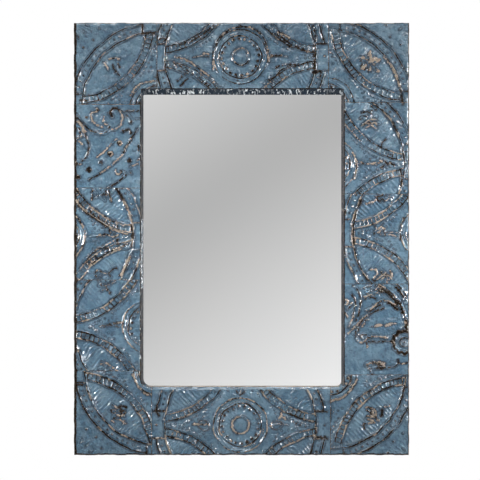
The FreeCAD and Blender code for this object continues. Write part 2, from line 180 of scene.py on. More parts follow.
def makeTinPaint():
    look = tinPaint
    material, tree, shader = newMaterial("wornBluePaint")
    point = objectPoint(tree)
    crest, lip, lipSide = (attribute(tree, key) for key in ("crest", "lip", "lipSide"))
    streak = noise(tree, point, 120, 4, 0.6)
    fine = noise(tree, point, 420, 3, 0.6)
    colour = blueCoat(tree, point, streak, attribute(tree, "footShade"))

    # the paint is rubbed through on the crests, down to tan primer or to dark metal
    worn = add(tree, crest, swing(tree, fine, 0.7))
    worn = add(tree, worn, swing(tree, noise(tree, point, 95, 3, 0.6), 1.5))
    rubbedEdge = multiply(tree, ramp(tree, worn, 0.26, 0.4, 0, 0.85), ramp(tree, crest, 0.12, 0.3))
    worn = multiply(tree, ramp(tree, worn, 0.46, 0.58), ramp(tree, crest, 0.2, 0.42))
    which = add(tree, swing(tree, noise(tree, point, 42, 3, 0.7), 2.8), attribute(tree, "tone"))
    primer = ramp(tree, add(tree, which, swing(tree, fine, 0.8)), 0.5, 0.68)
    under = mixColour(tree, primer, look["bare"], look["tan"])
    under = mixColour(tree, ramp(tree, fine, 0.44, 0.64, 0, 0.75), under, look["rust"])
    colour = mixColour(tree, rubbedEdge, colour, look["navy"])
    colour = mixColour(tree, worn, colour, under)

    # the turned-in lip is darker: grimy and darkened as painted shade at the sides, navy as painted shade
    # above
    lipGrimeShadeColour = mixColour(tree, ramp(tree, lipSide, 0.0, 0.3), look["navy"], look["grimeShade"])
    cover = multiply(tree, lip, ramp(tree, streak, 0.3, 0.62, 1.0, 0.6))
    tree.links.new(mixColour(tree, cover, colour, lipGrimeShadeColour), shader.inputs["Base Color"])
    roughness = ramp(tree, worn, 0.0, 1.0, look["polish"], look["wornRoughness"], "LINEAR")
    dull = multiply(tree, multiply(tree, lip, lipSide), 0.5)
    tree.links.new(combine(tree, "MAXIMUM", roughness, dull), shader.inputs["Roughness"])
    # bare iron is dull and dark
    tree.links.new(multiply(tree, worn, combine(tree, "SUBTRACT", 1.0, primer)), shader.inputs["Metallic"])
    shader.inputs["IOR"].default_value = look["gloss"]

    # dents, ripples and orange peel in the thick gloss, stronger in some patches than in others
    waviness = ramp(tree, noise(tree, point, 26, 2, 0.5), 0.44, 0.62, 0.25, 1.0)
    ripple = multiply(tree, noise(tree, point, 165, 1, 0.5), waviness)
    peel = multiply(tree, noise(tree, point, 330, 1, 0.5), waviness)
    normal = None
    for height, distance, strength in ((attribute(tree, "rise"), look["ridgeBump"], 1.0),
                                       (noise(tree, point, 75, 2, 0.5), look["dentBump"], 0.9),
                                       (ripple, look["rippleBump"], 0.8),
                                       (peel, look["peelBump"], 0.8),
                                       (worn, look["wornBump"], 0.9)):
        normal = bump(tree, height, distance, strength, normal)
    tree.links.new(normal, shader.inputs["Normal"])
    return material


def finishLip(tree, shader, colour, fine, shine, smoothest, dullest):
    # what both lips share: little shine and a fine grain
    tree.links.new(colour, shader.inputs["Base Color"])
    shader.inputs["Specular IOR Level"].default_value = shine
    tree.links.new(ramp(tree, fine, 0.35, 0.65, smoothest, dullest), shader.inputs["Roughness"])
    tree.links.new(bump(tree, fine, tinPaint["lipBump"], 0.6), shader.inputs["Normal"])


def makeLipGrimeShade():
    look = tinPaint
    material, tree, shader = newMaterial("grimyShadedLip")
    point = objectPoint(tree)
    streak = noise(tree, point, 120, 4, 0.6)
    fine = noise(tree, point, 420, 3, 0.6)
    # near black as painted shade, with brown grime in streaks
    colour = mixColour(tree, ramp(tree, streak, 0.5, 0.68, 0, 0.8), look["lipDark"], look["lipBrown"])
    colour = mixColour(tree, ramp(tree, fine, 0.5, 0.7, 0, 0.6), colour, look["navy"])
    finishLip(tree, shader, colour, fine, 0.12, 0.35, 0.7)
    return material


def makeTopLip():
    # navy as painted shade, with short pale dashes that paint its glints as bare tin
    look = tinPaint
    material, tree, shader = newMaterial("dashedLip")
    fine = noise(tree, objectPoint(tree), 420, 3, 0.6)
    dashes = noise(tree, objectPoint(tree, (1, 0.3, 0.3)), 300, 2, 0.6)
    patches = noise(tree, objectPoint(tree, (1, 0.1, 0.1)), 24, 2, 0.6)
    paintedGlints = multiply(tree, ramp(tree, dashes, 0.55, 0.61), ramp(tree, patches, 0.42, 0.56, 0.2, 1.0))
    colour = mixColour(tree, ramp(tree, fine, 0.4, 0.65), look["lipNavy"], look["navy"])
    # the pale dashes are painted glints
    colour = mixColour(tree, paintedGlints, colour, look["lipGlint"])
    finishLip(tree, shader, colour, fine, 0.15, 0.3, 0.6)
    return material


def makeFinish(name, grain, spread, colours, roughness, relief=None, metal=0.0):
    # a plain finish: one noise mixes two near colours and gives a faint relief
    material, tree, shader = newMaterial(name)
    spots = noise(tree, objectPoint(tree), *grain)
    tree.links.new(mixColour(tree, ramp(tree, spots, *spread), *colours), shader.inputs["Base Color"])
    if isinstance(roughness, tuple):
        roughness = ramp(tree, spots, *spread, *roughness)
    feed(tree, roughness, shader.inputs["Roughness"])
    shader.inputs["Metallic"].default_value = metal
    if relief:
        tree.links.new(bump(tree, spots, *relief), shader.inputs["Normal"])
    return material


paint = makeTinPaint()
lipGrimeShade = makeLipGrimeShade()
topLip = makeTopLip()
rawEdge = makeFinish("rawTinEdge", (160, 4, 0.65), (0.4, 0.65), (tinPaint["edgeTin"], tinPaint["edgeRust"]),
                     0.45, (0.0003, 0.5), 0.35)

# The tin's shape, in millimetres

cladding = {
    # the stretch of the left lip that keeps its gloss
    "glossyLip": (-90.0, 35.0),
    "halfWidth": 305.0,
    "halfHeight": 393.5,
    "glassLeft": -179.4,
    "glassRight": 182.6,
    "glassTop": 264.0,
    "glassBottom": -268.6,
    "front": -25.5,
    "glassEnd": -10.5,
    "returnEnd": -8.0,
    "outerBend": 2.2,
    "slopeSide": 4.2,
    "slopeTop": 9.0,
    "slopeBottom": 4.4,
    "roll": 1.3,
    "cornerBottomLeft": 14.0,
    "cornerBottomRight": 9.0,
    "cornerTop": 2.0,
    "thickness": 0.5,
    "seamGap": 0.1,
    "grid": 0.78,
    "lipGrid": 0.6,
    "tallest": 3.45,
    "deepest": -0.3,
    # points this far inside a rounded sight corner slide out to its edge
    "cornerSlide": 1.4,
    # the relief begins over these widths, beside the lip and beside the outer edge
    "lipFade": 2.8,
    "edgeFade": (0.9, 3.0),
}

seams = {
    "top": (-154.0, 158.3),
    "bottom": (-163.5, 162.0),
    "left": (245.2, 92.9, -74.7, -240.5),
    "right": (249.0, 81.9, -81.9, -247.6),
}


def panelOutlines():
    half, tall = cladding["halfWidth"], cladding["halfHeight"]
    glassLeft, glassRight = cladding["glassLeft"], cladding["glassRight"]
    glassTop, glassBottom = cladding["glassTop"], cladding["glassBottom"]
    top, bottom, left, right = seams["top"], seams["bottom"], seams["left"], seams["right"]
    return {
        "tin_corner_top_left": (-half, top[0], left[0], tall),
        "tin_top": (top[0], top[1], glassTop, tall),
        "tin_corner_top_right": (top[1], half, right[0], tall),
        "tin_left_upper": (-half, glassLeft, left[1], left[0]),
        "tin_left_middle": (-half, glassLeft, left[2], left[1]),
        "tin_left_lower": (-half, glassLeft, left[3], left[2]),
        "tin_right_upper": (glassRight, half, right[1], right[0]),
        "tin_right_middle": (glassRight, half, right[2], right[1]),
        "tin_right_lower": (glassRight, half, right[3], right[2]),
        "tin_corner_bottom_left": (-half, bottom[0], -tall, left[3]),
        "tin_bottom": (bottom[0], bottom[1], -tall, glassBottom),
        "tin_corner_bottom_right": (bottom[1], half, -tall, right[3]),
    }


def softNoise(x, z, size, seed):
    # smooth wander from a few crossing waves, about one unit high
    dice = np.random.default_rng(seed)
    total = np.zeros_like(x)
    waves = 16
    for index in range(waves):
        angle = dice.uniform(0, 2 * math.pi)
        rate = 2 * math.pi / (size * dice.uniform(0.7, 1.6))
        total += np.cos((x * math.cos(angle) + z * math.sin(angle)) * rate + dice.uniform(0, 2 * math.pi))
    return total / math.sqrt(waves / 2)


def softNoises(x, z, waves):
    # several wanders added up, each as (height, size, seed)
    return sum(height * softNoise(x, z, size, seed) for height, size, seed in waves)


def smooth(value, low, high):
    share = np.clip((value - low) / (high - low), 0, 1)
    return share * share * (3 - 2 * share)


class Relief:
    # what the pressing gives at each point: height, worn crests, their tone, and the painted shade at their
    # feet

    def __init__(self, x, z):
        self.x, self.z = x, z
        self.rise = np.zeros_like(x)
        self.crest = np.zeros_like(x)
        self.footShade = np.zeros_like(x)
        self.tone = np.full_like(x, 0.5)
        self.bias = 0.0
        self.crisp = 0.2
        self.rubbed = 0.87
        self.worn = 0.76 + 0.26 * softNoise(x, z, 26, 5)
        self.ragged = softNoises(x, z, ((0.2, 7, 6), (0.1, 3.5, 7)))

    def mark(self, strength, tone):
        # the stronger mark at a point gives its tone
        self.tone = np.where(strength > self.crest, tone, self.tone)
        self.crest = np.maximum(self.crest, strength)

    def line(self, away, width, height, tone=0.5, crest=1.0, fine=1.15, where=1.0, inside=None):
        # a rounded ridge; inside is the signed distance, where its gentler flank lies on the plus side
        near = np.clip(away / width, 0, 1)
        if inside is not None:
            near = np.clip(np.where(inside > 0, inside / (width * 1.3), -inside / (width * 0.8)), 0, 1)
        profile = np.cos(near * math.pi / 2) ** 2 * where
        self.rise = np.maximum(self.rise, height * profile) + 0.25 * np.minimum(self.rise, height * profile)
        strength = np.exp(-((away + self.ragged) / (self.rubbed * fine)) ** 2)
        self.mark(crest * where * strength, tone + self.bias)
        # painted shade along the ridge's foot
        self.footShade = np.maximum(self.footShade, where * np.exp(-((away - width) / 1.3) ** 2))

    def dot(self, away, radius, height, tone=0.5, crest=0.9, where=1.0):
        profile = np.sqrt(np.clip(1 - (away / radius) ** 2, 0, 1)) * where
        self.rise = np.maximum(self.rise, height * profile)
        self.mark(crest * where * np.exp(-(away / (radius * 0.62)) ** 2), tone)
        # painted shade round the dot's foot
        self.footShade = np.maximum(self.footShade, where * np.exp(-((away - radius) / 0.9) ** 2))

    def stroke(self, points, width, height, tone=0.5, crest=1.0, fine=1.25):
        x, z = self.x, self.z
        path = curveThrough(points)
        reach = width + 4
        low, high = path.min(axis=0) - reach, path.max(axis=0) + reach
        picked = (x > low[0]) & (x < high[0]) & (z > low[1]) & (z < high[1])
        if not picked.any():
            return
        away = np.full_like(x, 1e3)
        away[picked] = np.abs(pathDistance(x[picked], z[picked], path) + self.ragged[picked] * 1.6)
        # the broadest strokes are rubbed bare all over
        solid = width >= 3.3 and (tone > 0.9 or tone < 0.05)
        self.line(away, width, height, tone, crest, width * 0.75 if solid else fine)

    def wave(self, height, phase, where):
        # shallow flutes, with no wear of their own
        self.rise = self.rise + height * np.cos(phase) * where


def curveThrough(points):
    # a smooth line through the points
    points = np.array(points, dtype=float)
    if len(points) == 2:
        return points
    ends = np.vstack([2 * points[0] - points[1], points, 2 * points[-1] - points[-2]])
    path = []
    for index in range(len(points) - 1):
        a, b, c, d = ends[index:index + 4]
        steps = max(2, int(np.hypot(*(c - b)) / 2.5))
        for share in np.arange(steps) / steps:
            path.append(0.5 * (2 * b + (c - a) * share + (2 * a - 5 * b + 4 * c - d) * share ** 2
                               + (3 * b - a - 3 * c + d) * share ** 3))
    path.append(points[-1])
    return np.array(path)


def pathDistance(x, z, path):
    nearest = np.full_like(x, 1e6)
    for (ax, az), (bx, bz) in zip(path[:-1], path[1:]):
        dx, dz = bx - ax, bz - az
        share = np.clip(((x - ax) * dx + (z - az) * dz) / (dx * dx + dz * dz), 0, 1)
        nearest = np.minimum(nearest, (x - ax - share * dx) ** 2 + (z - az - share * dz) ** 2)
    return np.sqrt(nearest)


# The lattice tile: circle band, ladder bands, lenses with leaves, medallion. A ridge is its half width,
# height and tone, where a tone near 1 is worn to tan primer and one near 0 to dark metal.
latticeTile = {
    "halfPitch": 152.4,
    "circleInner": 137.6,
    "circleOuter": 155.0,
    "circleInnerRidge": (3.4, 3.2, 0.4),
    "circleOuterRidge": (3.3, 3.1, 0.25),
    "circleDotRadius": 146.4,
    "circleDots": 84,
    "claspHalf": 24.6,
    "claspRidge": (2.2, 1.7, 0.3),
    "railLens": 134.0,
    "railMedal": 145.8,
    "railLensRidge": (2.9, 3.0, 0.45),
    "railMedalRidge": (2.9, 3.0, 0.4),
    "rungSpacing": 7.8,
    "rungRidge": (1.9, 2.1, 0.35),
    "openFloor": 0.6,
    "hatchSpacing": 6.5,
    "leafRadius": 110.0,
    # each lobe's lean in degrees, reach and half width
    "leafLobes": ((-78, 15, 3.6), (-40, 17, 4.4), (2, 18, 4.0), (42, 16, 4.6), (84, 14, 3.4)),
    # each bud's place along and beside the axis, radius, height and tone
    "buds": ((96, 6.5, 3.2, 1.1, 0.5), (102, 3.4, 2.8, 1.0, 0.2), (109, 0, 3.2, 1.4, 0.5),
             (88, 9, 2.2, 0.7, 0.2), (75, 11, 2.0, 0.6, 0.5), (68, 15, 1.8, 0.5, 0.3),
             (64, 22, 2.0, 0.6, 0.5), (82, 15, 1.6, 0.5, 0.3)),
    "medalReach": 56.0,
    "medalRim": 49.2,
    "medalRimRidge": (3.4, 2.4, 0.5),
    "medalStep": 43.0,
    "medalCollar": 38.6,
    "medalBeadRadius": 33.3,
    "medalBeads": 20,
    "medalFlutes": 26,
    "medalEye": 15.5,
}


class TilePoint:
    # where each point lies in one repeat of the lattice, folded into its quarters

    def __init__(self, x, z, centre):
        half = latticeTile["halfPitch"]
        self.u = x - centre[0] + 0.55 * softNoise(x, z, 34, 11)
        self.v = z - centre[1] + 0.55 * softNoise(x, z, 34, 12)
        self.side, self.up = np.abs(self.u), np.abs(self.v)
        self.radius = np.hypot(self.u, self.v)
        self.angle = np.arctan2(self.v, self.u)
        self.corner = np.hypot(half - self.side, half - self.up)
        self.along, self.across = np.maximum(self.side, self.up), np.minimum(self.side, self.up)
        self.signedAcross = np.where(self.side > self.up, self.v, self.u)
        self.sweep = np.arctan2(half - self.up, half - self.side) * 140
        self.patchy = softNoise(x, z, 40, 21)


def circleBand(relief, at, tile):
    clasp, across = tile["claspHalf"], at.across
    off = at.radius - tile["circleInner"]
    relief.line(np.abs(off), *tile["circleInnerRidge"], 1.15, inside=-off, fine=1.4)
    off = at.radius - tile["circleOuter"]
    relief.line(np.abs(off), *tile["circleOuterRidge"], 1.15, where=smooth(across, clasp - 1, clasp + 1),
                inside=-off, fine=1.4)
    spacing = 2 * math.pi / tile["circleDots"]
    turn = (np.mod(at.angle, spacing) - spacing / 2) * at.radius
    relief.dot(np.hypot(at.radius - tile["circleDotRadius"], turn), 2.1, 1.4, 0.1, 0.8,
               smooth(across, clasp + 2, clasp + 5))
    bar = np.maximum(np.abs(across - clasp), np.maximum(138 - at.along, at.along - 158))
    relief.line(np.clip(bar, 0, 50), *tile["claspRidge"], fine=1.3)
    relief.dot(np.hypot(at.along - 153.5, across), 2.6, 1.4, 0.5)


def ladderBands(relief, at, tile):
    corner, step = at.corner, tile["rungSpacing"]
    within = smooth(at.radius, 138.5, 135.5)
    off = corner - tile["railLens"]
    relief.line(np.abs(off), *tile["railLensRidge"], 1.05, where=within, inside=-off, fine=1.3)
    off = corner - tile["railMedal"]
    relief.line(np.abs(off), *tile["railMedalRidge"], 1.05, where=within, inside=off, fine=1.3)
    rung = np.abs(np.mod(at.sweep, step) - step / 2)
    between = smooth(corner, 134, 136) * smooth(corner, 146, 144) * within
    relief.line(rung, *tile["rungRidge"], 0.66, 1.1, between)
    # less painted shade on the floor between the rails
    relief.footShade *= 1 - tile["openFloor"] * between
    # dark dots in the cells paint the shade of the hollows between the rungs
    cell = np.hypot(np.abs(rung - step / 2), corner - 139.9)
    relief.dot(cell, 1.5, 0.9, -0.3, 0.7, between * smooth(at.patchy, 0.1, 0.6))


def lenses(relief, at, tile, look):
    x, z, side, up = relief.x, relief.z, at.side, at.up
    leafAt = tile["leafRadius"] / math.sqrt(2)
    phase = (side - up) / math.sqrt(2) * 2 * math.pi / tile["hatchSpacing"] + 0.6 * softNoise(x, z, 50, 31)
    inLens = smooth(at.corner, 130, 126) * smooth(at.radius, 134, 130)
    clear = smooth(np.hypot(side - leafAt, up - leafAt), 15, 21)
    relief.rise += (look.get("hatch", 0.35) * np.clip(np.cos(phase), -0.6, 0.9) * inLens * clear
                    * np.clip(0.75 + 0.5 * softNoise(x, z, 30, 32), 0.1, 1.4))
    pillow = np.clip(1 - ((at.corner - 100) / 40) ** 2, 0, 1)
    relief.rise += 0.5 * pillow * smooth(at.radius, 137, 120)
    strength = look.get("leaf", 1.0)
    if not strength:
        return
    for lean, reach, wide in tile["leafLobes"]:
        heading = math.radians(45 + lean)
        dirX, dirZ = math.cos(heading), math.sin(heading)
        ax, az = side - leafAt + 4, up - leafAt + 4
        run = np.clip(ax * dirX + az * dirZ, 3, reach)
        away = np.hypot(ax - run * dirX, az - run * dirZ)
        relief.line(away, wide, 1.9 * strength, 0.75, 0.95 * strength, wide * 0.55)


def diamonds(relief, at, tile, look):
    along, signed, corner, radius = at.along, at.signedAcross, at.corner, at.radius
    inside = smooth(corner, 148, 151) * smooth(along, 50, 54) * smooth(radius, 134, 131)
    stemAway = np.hypot(np.clip(np.abs(along - 70) - 16, 0, 99), signed - 1.5 * np.sin(along / 9))
    relief.line(stemAway, 2.0, 0.8, 0.45, 0.7, 1.0, inside)
    beadRow = np.mod(at.sweep, 6.4) - 3.2
    relief.dot(np.hypot(corner - 153.5, beadRow), 1.7, 1.2, 0.1, 0.5,
               smooth(radius, 60, 63) * smooth(radius, 133, 130) * smooth(at.patchy, -0.7, -0.1))
    relief.wave(look.get("rays", 0.35), at.angle * 44,
                smooth(corner, 157, 160) * smooth(radius, 58, 62) * smooth(radius, 84, 76))
    relief.wave(0.28, signed * 2 * math.pi / 4.6,
                inside * smooth(along, 92, 70) * smooth(np.abs(signed), 4, 8))
    share = look.get("buds", 1.0)
    for place, offset, size, high, tone in tile["buds"]:
        away = np.hypot(along - place, np.abs(signed) - offset)
        relief.dot(away, size, high, tone, 0.55 * share, inside * share)
    budAway = np.abs(np.hypot((along - 66) / 1.25, signed * 0.95) - 7.5)
    relief.line(budAway, 1.8, 0.9, 0.2, 0.75, 1.0, inside * look.get("bud", 0.4))


def cornerFans(relief, at, tile):
    # outside the circle, about a point just past the repeat's corner
    rim = tile["halfPitch"] + 4
    outside = smooth(at.radius, 158, 161)
    angle = np.arctan2(rim - at.up, rim - at.side)
    near = np.hypot(rim - at.up, rim - at.side)
    ribs = np.clip(np.cos(angle * 34), -0.3, 1)
    relief.rise += 0.45 * ribs * outside * smooth(near, 46, 38) * smooth(near, 10, 16)
    petal = np.abs(np.mod(angle * 7, math.pi) - math.pi / 2) / 7 * near
    relief.dot(np.hypot(petal, near - 52), 2.6, 1.3, 0.2, 0.85, outside)
    relief.dot(np.hypot(petal, (near - 30) / 1.8), 2.2, 1.1, 0.3, 0.6, outside)


def medallion(relief, at, tile, look):
    radius, angle = at.radius, at.angle
    disc = radius < tile["medalReach"]
    if not disc.any():
        return
    relief.rise += 0.4 * smooth(radius, 54, 50)
    off = radius - tile["medalRim"]
    relief.line(np.abs(off), *tile["medalRimRidge"], 0.9, 1.2, inside=-off)
    relief.line(np.abs(radius - tile["medalStep"]), 2.6, 1.2, 0.5, 0.4, 1.0)
    relief.line(np.abs(radius - tile["medalCollar"]), 2.8, 2.0, 0.35, 0.95, 1.4)
    # little painted shade on the medallion
    relief.footShade[disc] *= 0.3
    beadAt = tile["medalBeadRadius"]
    spacing = 2 * math.pi / tile["medalBeads"]
    turn = (np.mod(angle + 0.08, spacing) - spacing / 2) * beadAt
    relief.dot(np.hypot(radius - beadAt, turn) + 1.5 * relief.ragged, 3.7, 2.2, 0.5, 1.2, disc)
    relief.wave(look.get("flute", 0.3), angle * tile["medalFlutes"],
                smooth(radius, 17.5, 20) * smooth(radius, 30.5, 28))
    relief.line(np.abs(radius - tile["medalEye"]), 2.9, 2.3, 0.75, 1.0, 1.5)
    relief.rise = np.maximum(relief.rise, 1.7 * np.clip(1 - (radius / 12.5) ** 2, 0, 1))


def latticeRelief(relief, name):
    look, tile = latticePanels[name], latticeTile
    relief.bias = look.get("bias", 0.0)
    relief.crisp = look.get("crisp", 0.2)
    relief.rubbed = look.get("rubbed", 0.87)
    at = TilePoint(relief.x, relief.z, look["centre"])
    circleBand(relief, at, tile)
    ladderBands(relief, at, tile)
    lenses(relief, at, tile, look)
    diamonds(relief, at, tile, look)
    cornerFans(relief, at, tile)
    medallion(relief, at, tile, look)
    relief.bias = 0.0
    for width, height, tone, points in cutDetails.get(name, ()):
        relief.stroke(points, width, height, tone, 1.15, 1.5)


# How each cut piece shows the lattice: where the repeat's middle falls, how much is worn to tan, how deep
# its hatching, leaves, buds, rays and flutes are
latticePanels = {
    "tin_corner_top_left": {"centre": (-154.0, 238.9), "bias": -0.05, "hatch": 0.05, "leaf": 0.0},
    "tin_top": {"centre": (-2.1, 331.7), "bias": -0.05, "hatch": 0.35, "leaf": 0.0, "bud": 0.0, "buds": 0.3,
                "flute": 0.08, "rays": 0.1},
    "tin_corner_top_right": {"centre": (155.9, 244.4), "bias": 0.12, "hatch": 0.8, "leaf": 0.75},
    "tin_left_middle": {"centre": (-334.9, 4.7), "bias": 0.3, "crisp": 0.1, "hatch": 1.0, "leaf": 0.6},
    "tin_left_lower": {"centre": (-167.8, -159.8), "bias": 0.05, "rubbed": 0.98, "crisp": 0.3, "hatch": 0.9,
                       "leaf": 0.6},
    "tin_right_upper": {"centre": (159.5, 135.8), "bias": 0.12, "hatch": 0.85, "leaf": 0.6},
    "tin_right_middle": {"centre": (338.9, 11.0), "bias": 0.25, "crisp": 0.1, "hatch": 1.0, "leaf": 0.5},
    "tin_corner_bottom_left": {"centre": (-148.5, -236.9), "bias": 0.02, "rubbed": 1.08, "crisp": 0.35,
                               "hatch": 1.1, "leaf": 0.5},
    "tin_bottom": {"centre": (-2.1, -339.0), "bias": 0.1, "rubbed": 1.08, "crisp": 0.45, "hatch": 1.35,
                   "leaf": 0.0, "bud": 1.0},
    "tin_corner_bottom_right": {"centre": (161.3, -244.4), "bias": 0.04, "rubbed": 1.12, "crisp": 0.35,
                                "hatch": 1.1, "leaf": 0.35},
}

